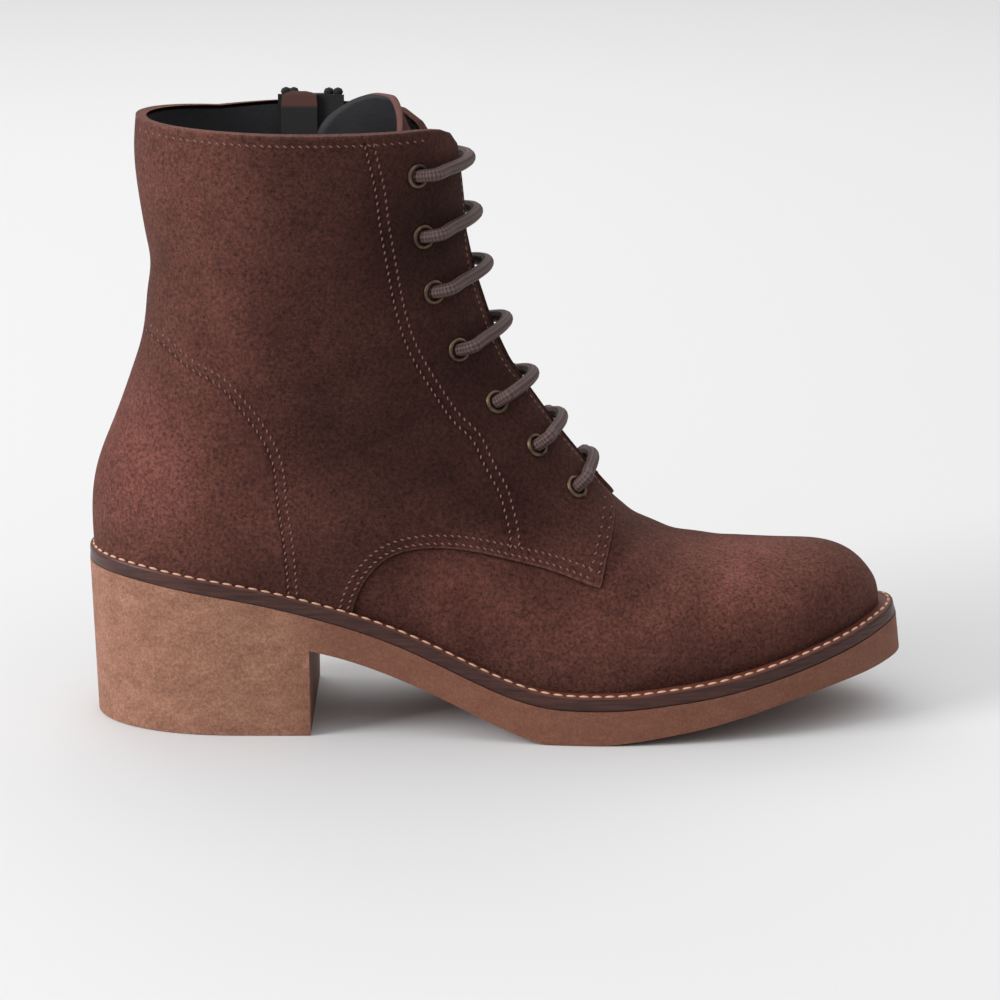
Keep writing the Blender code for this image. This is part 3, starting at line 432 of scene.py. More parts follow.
# %% [markdown]
# ## The skin seen from the side
# Seams are drawn on a boot as a side view shows them, in x and z. To lay one on the leather, the
# section through that place has to be found. A ray cast on a mesh would do it too, but it would hit
# facets. Here the section whose chord runs through the place is looked up, and y is read from it.

# %% A point of the leather from the side
CHORD_ROWS = np.arange(6.0, 26.05, 0.1)
chords = {side: np.array([section(row, side, 2)[0] for row in CHORD_ROWS]) for side in (-1, 1)}


def side_point(side, x, z):
    """The point of the upper's outside at x and z, seen from one side."""
    ridge = chords[side][:, 0]
    reach = chords[side][:, 1] - ridge
    miss = reach[:, 0] * (z - ridge[:, 2]) - reach[:, 2] * (x - ridge[:, 0])
    changes = np.nonzero(np.diff(np.sign(miss)))[0]
    i = changes[0] if len(changes) else len(miss) - 2
    row = CHORD_ROWS[i] + 0.1 * miss[i] / (miss[i] - miss[i + 1])
    count = 90
    points, along = section(row, side, count)
    chord = points[-1] - points[0]
    reached = (x - points[0][0]) * chord[0] + (z - points[0][2]) * chord[2]
    s = reached / (chord[0] ** 2 + chord[2] ** 2)
    shares = (1 - np.cos(np.pi * np.linspace(0, 1, count))) / 2
    return np.array([x, np.interp(s, shares, points[:, 1]), z])


def side_frame(side, x, z):
    reach = 0.001
    point = side_point(side, x, z)
    dx = (side_point(side, x + reach, z)[1] - side_point(side, x - reach, z)[1]) / (2 * reach)
    dz = (side_point(side, x, z + reach)[1] - side_point(side, x, z - reach)[1]) / (2 * reach)
    normal = side * np.array([-dx, 1.0, -dz])
    return point, normal / np.linalg.norm(normal)


print("half width at the ankle in mm:", -round(float(side_point(-1, 0.08, 0.12)[1]) * 1000, 1))

# %% [markdown]
# ## From points to objects
# Each piece is a list of points and faces in the boot's own frame. Bmesh or modifiers could build
# them, but plain lists are quick and exact. Values such as the distance to a seam are stored at the
# points, so that a material can read them later.

# %% New objects
ROW_ORIGIN = np.array([0.13497162, 0.00212842, 0.0])
BOOT = "boot"


def lengths_along(points):
    steps = np.linalg.norm(np.diff(points, axis=0), axis=1)
    return np.concatenate([[0.0], np.cumsum(steps)])


def new_object(name, points, faces, material, values=None, uv=None, sharp=40):
    """A smooth object from points of the design, with named values and a UV map at its points."""
    mesh = bpy.data.meshes.new(name)
    local = np.asarray(points) - ROW_ORIGIN
    mesh.from_pydata(local.tolist(), [], [list(map(int, face)) for face in faces])
    for key, value in (values or {}).items():
        layer = mesh.attributes.new(key, "FLOAT", "POINT")
        layer.data.foreach_set("value", np.asarray(value, np.float32))
    if uv is not None:
        corners = np.empty(len(mesh.loops), np.int32)
        mesh.loops.foreach_get("vertex_index", corners)
        layer = mesh.uv_layers.new(name="UVMap")
        layer.data.foreach_set("uv", np.asarray(uv, np.float32)[corners].ravel())
    mesh.materials.append(material)
    mesh.shade_smooth()
    mesh.set_sharp_from_angle(angle=math.radians(sharp))
    made = bpy.data.objects.new(name, mesh)
    bpy.context.scene.collection.objects.link(made)
    return made


def woven(rows, columns, around=True):
    """Faces between rows of points, with each row closed to a ring or left open."""
    faces = []
    for i in range(rows - 1):
        for j in range(columns if around else columns - 1):
            a = i * columns + j
            b = i * columns + (j + 1) % columns
            faces.append((a, b, b + columns, a + columns))
    return faces


print("faces of a small net:", len(woven(3, 4)))

# %% [markdown]
# ## Sheets of leather
# A panel is cut from hide with a knife, so its outline is sharp and its edge shows. A boolean could
# cut it, but booleans on thin curved sheets leave splinters. Here a fine grid covers the section
# rows, and each cell that a cutting line crosses is cut exactly there. The free sides are then drawn
# inwards along the normals, which gives the leather its thickness at the edge.

# %% A grid on the skin
def sheet_grid(side, rows, columns, first=0.0, last=1.0):
    """Columns of a table for each grid point: x, y, z, normal, section row and way round."""
    points = []
    ways = []
    for row in rows:
        curve, along = section(row, side, 90)
        way = along[-1] * np.linspace(first, last, columns)
        points.append(np.stack([np.interp(way, along, curve[:, k]) for k in range(3)], axis=1))
        ways.append(way)
    points = np.array(points)
    normal = np.cross(np.gradient(points, axis=1), np.gradient(points, axis=0)) * side
    size = np.linalg.norm(normal, axis=2, keepdims=True)
    normal = normal / np.maximum(size, 1e-12)
    row_of = np.repeat(np.asarray(rows)[:, None], columns, axis=1)
    table = np.concatenate([points, normal, row_of[..., None], np.array(ways)[..., None]], axis=2)
    n = columns
    i, j = np.meshgrid(np.arange(len(rows) - 1), np.arange(columns - 1), indexing="ij")
    a = (i * n + j).ravel()
    quads = np.stack([a, a + 1, a + n + 1, a + n], axis=1)
    if side < 0:
        quads = quads[:, ::-1]
    return table.reshape(-1, 8), quads.tolist()


print("points of a small sheet:", len(sheet_grid(-1, (16.0, 17.0, 18.0), 5)[0]))

# %% Cut along a line
def clip(table, faces, value):
    """The part of a sheet where the value is above nothing, cut exactly along its zero line."""
    keep = value > 0
    extra = []
    made = {}
    out = []

    def crossing(a, b):
        key = (min(a, b), max(a, b))
        if key not in made:
            share = value[a] / (value[a] - value[b])
            made[key] = len(table) + len(extra)
            extra.append(table[a] + (table[b] - table[a]) * share)
        return made[key]

    for face in faces:
        inside = keep[face]
        if inside.all():
            out.append(face)
        elif inside.any():
            cut = []
            for a, b in zip(face, face[1:] + face[:1]):
                if keep[a]:
                    cut.append(a)
                if keep[a] != keep[b]:
                    cut.append(crossing(a, b))
            if len(cut) > 2:
                out.append(cut)
    if extra:
        table = np.concatenate([table, np.array(extra)])
    used = np.unique(np.concatenate([np.asarray(f) for f in out]))
    index = np.full(len(table), -1)
    index[used] = np.arange(len(used))
    return table[used], [index[f].tolist() for f in out]


small, cells = sheet_grid(-1, (16.0, 17.0, 18.0), 5)
print("cells left when it is cut at half height:", len(clip(small, cells, small[:, 2] - 0.12)[1]))

# %% The cut edge
def edged(table, faces, thickness):
    """The sheet with its cut edge: every free side is drawn inwards along the normals."""
    sides = {(a, b) for face in faces for a, b in zip(face, face[1:] + face[:1])}
    free = [(a, b) for a, b in sides if (b, a) not in sides]
    used = sorted({k for pair in free for k in pair})
    low = {k: len(table) + i for i, k in enumerate(used)}
    inner = table[used].copy()
    inner[:, :3] -= inner[:, 3:6] * thickness
    walls = [[b, a, low[a], low[b]] for a, b in free]
    return np.concatenate([table, inner]), faces + walls


def lifted(table, height):
    """The sheet moved out along its normals."""
    out = table.copy()
    out[:, :3] += out[:, 3:6] * np.asarray(height)[:, None]
    return out


print("cells with its cut edge:", len(edged(small, cells, WALL)[1]))

# %% [markdown]
# ## A short hand for materials
# Blender's materials are trees of nodes. They could be wired by mouse, but a script needs names for
# the moves it repeats: put a node, mix two colours, blend between two values, and make a bump.

# %% Shader helper
class Shader:
    """A material's node tree, with short calls to add nodes."""

    def __init__(self, name):
        self.material = bpy.data.materials.new(name)
        self.material.use_nodes = True
        self.tree = self.material.node_tree
        self.out = self.tree.nodes["Principled BSDF"]

    def put(self, kind, inputs=None, **settings):
        node = self.tree.nodes.new("ShaderNode" + kind)
        for key, value in settings.items():
            setattr(node, key, value)
        for key, value in (inputs or {}).items():
            self.join(value, node.inputs[key])
        return node

    def join(self, value, socket):
        if isinstance(value, bpy.types.NodeSocket):
            self.tree.links.new(value, socket)
        else:
            socket.default_value = value

    def set(self, **inputs):
        for key, value in inputs.items():
            self.join(value, self.out.inputs[key.replace("_", " ")])

    def value(self, name):
        return self.put("Attribute", attribute_name=name).outputs["Fac"]

    def math(self, operation, a, b=0.0, c=0.0):
        return self.put("Math", {0: a, 1: b, 2: c}, operation=operation).outputs[0]

    def noise(self, scale, detail=4.0, rough=0.55, where=None, stretch=None):
        where = where or self.put("TexCoord").outputs["Object"]
        if stretch:
            where = self.put("Mapping", {"Vector": where, "Scale": stretch}).outputs[0]
        inputs = {"Vector": where, "Scale": scale, "Detail": detail, "Roughness": rough}
        return self.put("TexNoise", inputs).outputs["Fac"]

    def ramp(self, value, *stops):
        node = self.put("ValToRGB", {0: value})
        while len(node.color_ramp.elements) < len(stops):
            node.color_ramp.elements.new(0.5)
        for element, (place, colour) in zip(node.color_ramp.elements, stops):
            element.position = place
            element.color = (*colour, 1.0) if len(colour) == 3 else colour
        return node.outputs[0]

    def span(self, value, low, high, to_low=0.0, to_high=1.0):
        inputs = {0: value, 1: low, 2: high, 3: to_low, 4: to_high}
        return self.put("MapRange", inputs, interpolation_type="SMOOTHSTEP").outputs[0]

    def mix(self, share, a, b, blend="MIX"):
        node = self.put("Mix", data_type="RGBA", blend_type=blend)
        self.join(share, node.inputs[0])
        self.join(a if isinstance(a, bpy.types.NodeSocket) else (*a, 1.0), node.inputs[6])
        self.join(b if isinstance(b, bpy.types.NodeSocket) else (*b, 1.0), node.inputs[7])
        return node.outputs[2]

    def times(self, colour, value):
        scaled = self.put("VectorMath", {0: colour}, operation="SCALE")
        self.join(value, scaled.inputs["Scale"])
        return scaled.outputs[0]

    def bump(self, height, distance, strength=1.0):
        inputs = {"Height": height, "Distance": distance, "Strength": strength}
        return self.put("Bump", inputs).outputs[0]


def rgb(red, green, blue):
    """A colour as seen on a screen, made linear."""
    return tuple((c / 255) ** 2.2 for c in (red, green, blue))


print("middle grey made linear:", round(rgb(128, 128, 128)[0], 3))

# %% [markdown]
# ## Nubuck
# Nubuck is leather sanded to a short nap. It is matt and its dye is cloudy and patchy. Hair could
# draw the nap, but at this distance fine noise in bump and colour looks the same and can be baked.
# Three noises are mixed: wide clouds, patches and the nap. Where a panel carries the distance to a
# seam, a groove is pressed in along it and painted darker as shade, and cut edges are rubbed
# lighter. Where a panel carries painted light and shade, its colour is multiplied by it.

# %% Nubuck
CLOUD_SCALE = 16.0
PATCH_SCALE = 70.0
NAP_SCALE = 850.0
PORE_SCALE = 420.0
GROOVE_WIDTH = 0.0010
GROOVE_DEPTH = 0.00040
RUBBED_WIDTH = 0.0011
SUEDE_DARK = rgb(52, 29, 26)
SUEDE_MID = rgb(85, 54, 48)
SUEDE_LIGHT = rgb(124, 87, 80)


def suede(name, cut=True):
    """Nubuck: cloudy dye, a fine nap and, where the points carry them, shaded seams, edges and painted
    light and shade.
    """
    made = Shader(name)
    cloudy = made.noise(CLOUD_SCALE, 5.0, 0.62)
    patchy = made.noise(PATCH_SCALE, 5.0, 0.7)
    nap = made.noise(NAP_SCALE, 5.0, 0.8)
    tone = made.math("MULTIPLY_ADD", cloudy, 0.70, -0.05)
    tone = made.math("ADD", tone, made.math("MULTIPLY_ADD", patchy, 0.36, -0.18))
    colour = made.ramp(tone, (0.05, SUEDE_DARK), (0.45, SUEDE_MID), (0.90, SUEDE_LIGHT))
    height = made.math("MULTIPLY", nap, 0.00035)
    pores = made.noise(PORE_SCALE, 4.0, 0.6)
    height = made.math("MULTIPLY_ADD", pores, 0.00022, height)
    if cut:
        for seam in ("seam", "seam_two"):
            away = made.math("ABSOLUTE", made.value(seam))
            groove_and_shade = made.span(away, 0.0, GROOVE_WIDTH, 1.0, 0.0)
            height = made.math("MULTIPLY_ADD", groove_and_shade, -GROOVE_DEPTH, height)
            # Painted shade: the leather is also darkened in the seam's groove.
            colour = made.mix(made.math("MULTIPLY", groove_and_shade, 0.55), colour, SUEDE_DARK)
        edge = made.span(made.value("edge"), 0.0, RUBBED_WIDTH, 1.0, 0.0)
        colour = made.mix(made.math("MULTIPLY", edge, 0.30), colour, SUEDE_LIGHT)
        # Painted light and shade: the colour is multiplied by the factor stored at the points.
        colour = made.times(colour, made.value("wear_and_painted_light"))
    grain = made.math("MULTIPLY_ADD", nap, 3.4, -0.90)
    colour = made.times(colour, grain)
    made.set(Base_Color=colour, Roughness=0.95, Normal=made.bump(height, 1.0, 0.9))
    made.set(Specular_IOR_Level=0.12, Sheen_Weight=0.12, Sheen_Roughness=0.6)
    made.set(Sheen_Tint=(0.55, 0.36, 0.30, 1.0))
    return made.material


SUEDE = suede("nubuck")
SUEDE_PLAIN = suede("nubuck_plain", cut=False)
print("nodes of the nubuck:", len(SUEDE.node_tree.nodes))

# %% [markdown]
# ## Seam lines
# The quarters are the two side panels of the shaft. Each ends below in a curved seam over the vamp
# and in front in a short upright edge. An eyestay seam frames the eyelets and a counter seam
# frames the heel. The lines could be painted on a map; as tables they stay sharp and also guide
# the stitches.

# %% Lines in the side view
def smooth_line(table, per_mm=1.0):
    """A table of x and z shares as a smooth line in metres, a point each millimetre or so."""
    knots = np.array([(FOOT_LENGTH * x, COLLAR_HEIGHT * z) for x, z in table])
    along = lengths_along(knots)
    rows = tuple((a, x, z) for a, (x, z) in zip(along, knots))
    fine = np.linspace(0, along[-1], int(along[-1] * 1000 * per_mm) + 2)
    return np.stack([Smooth(rows, 1)(fine), Smooth(rows, 2)(fine)], axis=1)


def line_distance(line, x, z):
    """Distance to a line in x and z, positive on its left."""
    best = np.full(len(x), 1e9)
    sign = np.ones(len(x))
    for (ax, az), (bx, bz) in zip(line, line[1:]):
        dx, dz = bx - ax, bz - az
        size = dx * dx + dz * dz
        share = np.clip(((x - ax) * dx + (z - az) * dz) / size, 0, 1)
        away = np.hypot(x - ax - share * dx, z - az - share * dz)
        turn = dx * (z - az) - dz * (x - ax)
        closer = away < best - 1e-9
        sign = np.where(closer, np.sign(turn), sign)
        best = np.where(closer, away, best)
    return best * sign


print("a line by its tables:", smooth_line(((0.0, 0.0), (0.1, 0.1), (0.2, 0.1))).shape)

# %% Edge of the quarters
# Lower and front edge of the quarters, seen from the side.
# Columns: x as a share of FOOT_LENGTH, z as a share of COLLAR_HEIGHT
QUARTER_EDGE = (
    (0.3220, 0.1700),
    (0.3310, 0.2340),
    (0.3500, 0.2810),
    (0.3730, 0.3080),
    (0.3985, 0.3193),
    (0.4320, 0.3220),
    (0.4720, 0.3150),
    (0.5190, 0.2990),
    (0.5680, 0.2810),
    (0.6090, 0.2610),
    (0.6235, 0.2550),
    (0.6305, 0.2925),
    (0.6360, 0.3195),
    (0.6400, 0.3435),
    (0.6425, 0.3700),
    (0.6480, 0.4200),
)

CORNER = 10
bottom_edge = smooth_line(QUARTER_EDGE[: CORNER + 1])
front_edge = smooth_line(QUARTER_EDGE[CORNER:])
quarter_line = np.concatenate([bottom_edge, front_edge[1:]])


FAR = 0.4


def in_quarter(table):
    """Distance to the quarters' lower and front edge, positive where the quarters lie."""
    x, z = table[:, 0], table[:, 2]
    corners = [[quarter_line[-1][0], FAR], [-FAR, FAR], [-FAR, 0.0]]
    fence = np.concatenate([quarter_line, corners])
    inside = np.zeros(len(x), bool)
    for (ax, az), (bx, bz) in zip(fence, np.roll(fence, -1, axis=0)):
        if az == bz:
            continue
        crosses = (az > z) != (bz > z)
        inside ^= crosses & (x < ax + (bx - ax) * (z - az) / (bz - az))
    return np.abs(line_distance(quarter_line, x, z)) * np.where(inside, 1, -1)


print("lower and front edge of a quarter in mm:", round(lengths_along(quarter_line)[-1] * 1000))

# %% Eyestay and counter seams
EYESTAY = (
    (0.3450, 0.9770), (0.3504, 0.9424), (0.3574, 0.8957), (0.3604, 0.8571), (0.3667, 0.8000),
    (0.3719, 0.7569), (0.3800, 0.6997), (0.3933, 0.6416), (0.4089, 0.5980), (0.4267, 0.5569),
    (0.4500, 0.5128), (0.4693, 0.4872), (0.4811, 0.4556), (0.4904, 0.4316), (0.5019, 0.4025),
    (0.5081, 0.3744), (0.5137, 0.3469), (0.5159, 0.3173),
)
COUNTER = (
    (0.0300, 0.6500), (0.0985, 0.6466), (0.1193, 0.6301), (0.1430, 0.6090), (0.1744, 0.5875),
    (0.1878, 0.5684), (0.2074, 0.5348), (0.2233, 0.5013), (0.2356, 0.4581), (0.2393, 0.4090),
    (0.2437, 0.3619), (0.2478, 0.3138), (0.2507, 0.2400),
)
eyestay_line = smooth_line(EYESTAY)
counter_line = smooth_line(COUNTER)
STITCH_GAP = 0.0027
print("eyestay seam in mm:", round(lengths_along(eyestay_line)[-1] * 1000))

# %% [markdown]
# ## Throat and collar
# The quarters leave a gap over the tongue, the throat, and end above in the collar. The throat is
# cut by its distance from the middle plane, the same on every section, and the collar by its height.
# A cutter object could do both, but the two tables follow the leather at any density.

# %% Tables of throat and collar
# The open throat between the quarters.
# Columns: section row, outer and inner half gap as shares of BALL_WIDTH
THROAT = (
    (8.40, 0.080, 0.080),
    (9.15, 0.070, 0.070),
    (9.75, 0.050, 0.060),
    (11.0, 0.045, 0.060),
    (13.0, 0.055, 0.070),
    (15.0, 0.075, 0.080),
    (17.3, 0.090, 0.090),
    (19.0, 0.094, 0.094),
    (20.4, 0.085, 0.100),
    (21.5, 0.058, 0.115),
    (22.2, 0.050, 0.135),
    (23.3, 0.048, 0.180),
    (24.0, 0.048, 0.205),
    (25.0, 0.048, 0.210),
)

# Collar line seen from the side, outer and inner quarter: x as a share of FOOT_LENGTH,
# fall below COLLAR_HEIGHT as a share of it
OUTER_COLLAR = (
    (0.0000, -0.0020),
    (0.0763, 0.0000),
    (0.2500, 0.0060),
    (0.4100, 0.0110),
    (0.4280, 0.0135),
    (0.4400, 0.0240),
    (0.4480, 0.0460),
    (0.4520, 0.0900),
)
INNER_COLLAR = (
    (0.0000, -0.0020),
    (0.0763, 0.0000),
    (0.1600, 0.0120),
    (0.2300, 0.0080),
    (0.3600, 0.0090),
    (0.3850, 0.0130),
    (0.4070, 0.0330),
    (0.4200, 0.0620),
    (0.4300, 0.1100),
)
throat_gaps = {-1: Smooth(THROAT, 1), 1: Smooth(THROAT, 2)}
collar_tables = {-1: OUTER_COLLAR, 1: INNER_COLLAR}
print("throat at the ankle in mm:", round(2000 * BALL_WIDTH * float(throat_gaps[-1](15.0)), 1))

# %% Cut at throat and collar
THROAT_REACH = 0.045


def collar_at(side, x):
    table = collar_tables[side]
    fall = np.interp(x / FOOT_LENGTH, [row[0] for row in table], [row[1] for row in table])
    return COLLAR_HEIGHT * (1 - fall)


def trimmed(side, table, faces, drop=0.0):
    """A quarter's sheet cut at the throat and the collar, a little lower where a drop is given."""
    gap = BALL_WIDTH * throat_gaps[side](table[:, 6]) + drop
    at_front = table[:, 7] < THROAT_REACH
    table, faces = clip(table, faces, np.where(at_front, side * table[:, 1] - gap, 1.0))
    last = FOOT_LENGTH * collar_tables[side][-1][0]
    room = collar_at(side, table[:, 0]) - drop - table[:, 2]
    return clip(table, faces, np.maximum(room, table[:, 0] - last))


def quarter_edge(side, table):
    """Distance from a quarter's point to the nearest cut edge."""
    lower = np.abs(line_distance(quarter_line, table[:, 0], table[:, 2]))
    throat = np.abs(side * table[:, 1] - BALL_WIDTH * throat_gaps[side](table[:, 6]))
    throat = np.where(table[:, 7] < THROAT_REACH, throat, 1.0)
    collar = np.abs(collar_at(side, table[:, 0]) - table[:, 2])
    return np.minimum(np.minimum(lower, throat), collar)


print("collar over the ankle in mm:", round(float(collar_at(-1, 0.08)) * 1000, 1))

# %% [markdown]
# ## Creases and painted light
# A worn shaft folds softly above the ankle and behind the ball. A cloth simulation would find folds
# of its own, in other places each time. So each crease is a shallow dent, long and narrow, laid
# where it belongs. Painted light and shade, lighter where the lamp falls and darker where shade
# lies, are soft spots in the same way, and the material multiplies its colour by them.

# %% Creases
# Soft creases of the shaft and vamp.
# Columns: x and z of the middle as shares of FOOT_LENGTH and COLLAR_HEIGHT, slope in degrees,
# length and width as shares of BALL_WIDTH, depth as a share of CREASE_DEPTH (less than 0: a ridge)
CREASE_DEPTH = 0.0015
CREASES = (
    (0.115, 0.760, -12, 0.26, 0.070, 0.55),
    (0.140, 0.690, -16, 0.30, 0.060, -0.45),
    (0.235, 0.560, 12, 0.30, 0.055, 0.45),
    (0.330, 0.600, 28, 0.34, 0.060, 0.60),
    (0.350, 0.520, 24, 0.34, 0.055, -0.40),
    (0.420, 0.430, 30, 0.30, 0.050, 0.40),
    (0.560, 0.340, 18, 0.22, 0.060, 0.45),
    (0.640, 0.290, 38, 0.26, 0.050, 0.55),
    (0.700, 0.255, 48, 0.24, 0.050, 0.45),
    (0.760, 0.235, 56, 0.22, 0.045, 0.30),
    (0.300, 0.850, 80, 0.30, 0.080, 0.40),
    (0.070, 0.420, 70, 0.26, 0.080, 0.35),
)


def crease_height(table):
    height = np.zeros(len(table))
    for x, z, slope, length, width, depth in CREASES:
        turn = math.radians(slope)
        dx = table[:, 0] - x * FOOT_LENGTH
        dz = table[:, 2] - z * COLLAR_HEIGHT
        along = (dx * math.cos(turn) + dz * math.sin(turn)) / (length * BALL_WIDTH)
        over = (-dx * math.sin(turn) + dz * math.cos(turn)) / (width * BALL_WIDTH)
        height -= depth * CREASE_DEPTH * np.exp(-(along**2) * 3 - over**2)
    return height

# %% Painted light and shade
# Painted light and shade on the nubuck: lighter where the lamp falls, darker where shade lies.
# Columns: x and z of the middle as shares of FOOT_LENGTH and COLLAR_HEIGHT, reach as a share of
# BALL_WIDTH, power of two in brightness
PAINTED_LIGHT = (
    (0.070, 0.440, 0.360, 1.40),
    (0.120, 0.900, 0.300, 0.80),
    (0.200, 0.660, 0.300, 0.55),
    (0.330, 0.520, 0.300, -0.80),
    (0.330, 0.860, 0.260, -0.10),
    (0.420, 0.820, 0.220, -1.50),
    (0.470, 0.620, 0.230, -1.05),
    (0.520, 0.420, 0.260, -0.45),
    (0.450, 0.240, 0.240, 1.05),
    (0.620, 0.200, 0.280, 0.75),
    (0.800, 0.270, 0.260, 1.40),
    (0.930, 0.220, 0.160, 0.60),
    (0.250, 0.400, 0.260, 0.55),
)


# Painted light and shade as a colour factor: above 1 where light falls, below 1 in shade.
def painted_light_factor(table):
    power = np.zeros(len(table))
    for x, z, reach, more in PAINTED_LIGHT:
        far = np.hypot(table[:, 0] - x * FOOT_LENGTH, table[:, 2] - z * COLLAR_HEIGHT)
        power += more * np.exp(-((far / (reach * BALL_WIDTH)) ** 2))
    return 2.0**power


print("creases:", len(CREASES), "soft spots:", len(PAINTED_LIGHT))

# %% [markdown]
# ## Quarters
# Each quarter is a panel of nubuck on its lining, a step above the vamp. It is the first piece that
# is built: a grid on one side of the boot, cut at its edge, throat and collar, then raised by its
# thickness, with the edge a little rounded.

# %% Density of the sheets
DENSITY = 1.0
COLUMNS = int(150 * DENSITY)
ROW_STEP = 0.075 / DENSITY
print("columns across a panel:", COLUMNS)

# %% Quarters
ROUND_DEPTH = 0.0005
ROUND_WIDTH = 0.0007


def quarter_height(table):
    """Height of a quarter over the skin: a step, softened at its cut edges."""
    away = np.abs(line_distance(quarter_line, table[:, 0], table[:, 2]))
    return QUARTER_STEP - ROUND_DEPTH * np.exp(-away / ROUND_WIDTH) + crease_height(table)


def leather(name, table, faces, thickness):
    """A cut panel of nubuck, its last three columns the distances that its finish reads."""
    table, faces = edged(table, faces, thickness)
    values = {"seam": table[:, 8], "seam_two": table[:, 9], "edge": table[:, 10]}
    # Painted light and shade, stored at the points for the nubuck.
    values["wear_and_painted_light"] = painted_light_factor(table)
    made = new_object(name, table[:, :3], faces, SUEDE, values)
    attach(made, BOOT)
    return made


for side, word in ((-1, "outer"), (1, "inner")):
    table, faces = sheet_grid(side, np.arange(8.4, 24.6, ROW_STEP), COLUMNS)
    table, faces = clip(table, faces, in_quarter(table))
    table, faces = trimmed(side, table, faces)
    seams = [line_distance(line, table[:, 0], table[:, 2]) for line in (eyestay_line, counter_line)]
    table = np.column_stack([table, *seams, quarter_edge(side, table)])
    raised = lifted(table, quarter_height(table))
    quarter = leather("quarter_" + word, raised, faces, WALL + QUARTER_STEP)
    print(quarter.name, "faces:", len(quarter.data.polygons))
    if side < 0:
        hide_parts("upper")

# %% [markdown]
# ## Vamp
# The vamp covers the toes and runs on a little way under the quarters, where it is sewn to them. Both
# halves come from the same sections and are joined to one sheet. A mirror would be shorter, but a
# foot isn't the same on both sides.

# %% Vamp
UNDER_QUARTER = 0.005
sheets = []
for side in (-1, 1):
    table, faces = sheet_grid(side, np.arange(0.02, 15.2, ROW_STEP), COLUMNS)
    table, faces = clip(table, faces, UNDER_QUARTER - in_quarter(table))
    sheets.append((table, faces))
offset = len(sheets[0][0])
table = np.concatenate([sheets[0][0], sheets[1][0]])
faces = sheets[0][1] + [[k + offset for k in face] for face in sheets[1][1]]
NO_SEAM = np.ones(len(table))
# For the vamp, the seam value is the distance to the quarters' edge: its groove darkening is painted
# shadow below the quarters' step.
table = np.column_stack([table, in_quarter(table), NO_SEAM, NO_SEAM])
vamp = leather("vamp", lifted(table, crease_height(table)), faces, WALL)
print("faces of the vamp:", len(vamp.data.polygons))

# %% [markdown]
# ## Lining
# The shaft is lined with thin black leather. It could be a second material on the wall's inside, but
# a sheet of its own shows a clean line under the collar. It ends just below the cut edge.

# %% Lining
made = Shader("lining_leather")
grain = made.noise(420.0, 5.0, 0.6)
colour = made.ramp(made.noise(30.0), (0.3, rgb(24, 24, 27)), (0.75, rgb(42, 42, 46)))
made.set(Base_Color=colour, Roughness=0.7, Normal=made.bump(grain, 0.0003, 0.6))
LINING = made.material
LINING_DROP = 0.0012
LINING_DEPTH = WALL * 0.96
for side, word in ((-1, "outer"), (1, "inner")):
    table, faces = sheet_grid(side, np.arange(9.6, 24.6, ROW_STEP * 2), COLUMNS // 2)
    table, faces = trimmed(side, table, faces, LINING_DROP)
    table = lifted(table, np.full(len(table), -LINING_DEPTH))
    lining = new_object("lining_" + word, table[:, :3], faces, LINING)
    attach(lining, BOOT)
print("faces of one lining:", len(lining.data.polygons))

# %% [markdown]
# ## Tongue
# The tongue is a thick soft sheet under the lace. It follows the sections a little inside the
# wall, and above the top eyelets it leans back and towards the inner side, as worn boots do. A
# Solidify modifier gives it a thickness, with the lining's material inside and a light cut edge.

# %% Tables of the tongue
# The tongue up its length.
# Columns: section row, half width, shift to the inner side and lean to the back as shares of
# BALL_WIDTH
TONGUE = (
    (8.2, 0.180, 0.000, 0.000),
    (12.0, 0.250, 0.000, 0.000),
    (16.0, 0.280, 0.000, 0.000),
    (19.0, 0.290, 0.005, 0.000),
    (20.5, 0.295, 0.030, 0.012),
    (22.0, 0.300, 0.090, 0.055),
    (23.0, 0.305, 0.150, 0.105),
    (24.0, 0.305, 0.210, 0.155),
    (25.0, 0.305, 0.250, 0.185),
)
TONGUE_START = 8.2
# Columns: place across the tongue, outer (-1) to inner (1), section row where it ends,
# times the lean of the table above
TONGUE_TOP = (
    (-1.00, 23.80, 0.87),
    (-0.80, 24.35, 0.84),
    (-0.50, 24.75, 0.86),
    (-0.20, 24.70, 1.00),
    (0.10, 24.45, 1.19),
    (0.40, 24.05, 1.39),
    (0.70, 23.60, 1.65),
    (0.90, 23.20, 1.95),
    (1.00, 22.95, 2.10),
)
TONGUE_THICKNESS = 0.0022
TONGUE_FIT = 0.0010
print("rows up the tongue:", len(TONGUE))

# %% Tongue
made = Shader("cut_edge")
made.set(Base_Color=(*rgb(98, 64, 60), 1.0), Roughness=0.95)
SUEDE_EDGE = made.material
TONGUE_ROWS = int(110 * DENSITY)
TONGUE_COLUMNS = int(50 * DENSITY)
half_width = Smooth(TONGUE, 1)


def tongue_point(share, row):
    way = BALL_WIDTH * (float(half_width(row)) * share + float(steady(TONGUE, 2, row)))
    point, normal, over = skin_frame(row, way)
    lean = BALL_WIDTH * steady(TONGUE, 3, row) * steady(TONGUE_TOP, 2, share)
    return point - normal * (WALL + TONGUE_FIT) - np.array([lean, 0.0, 0.0])


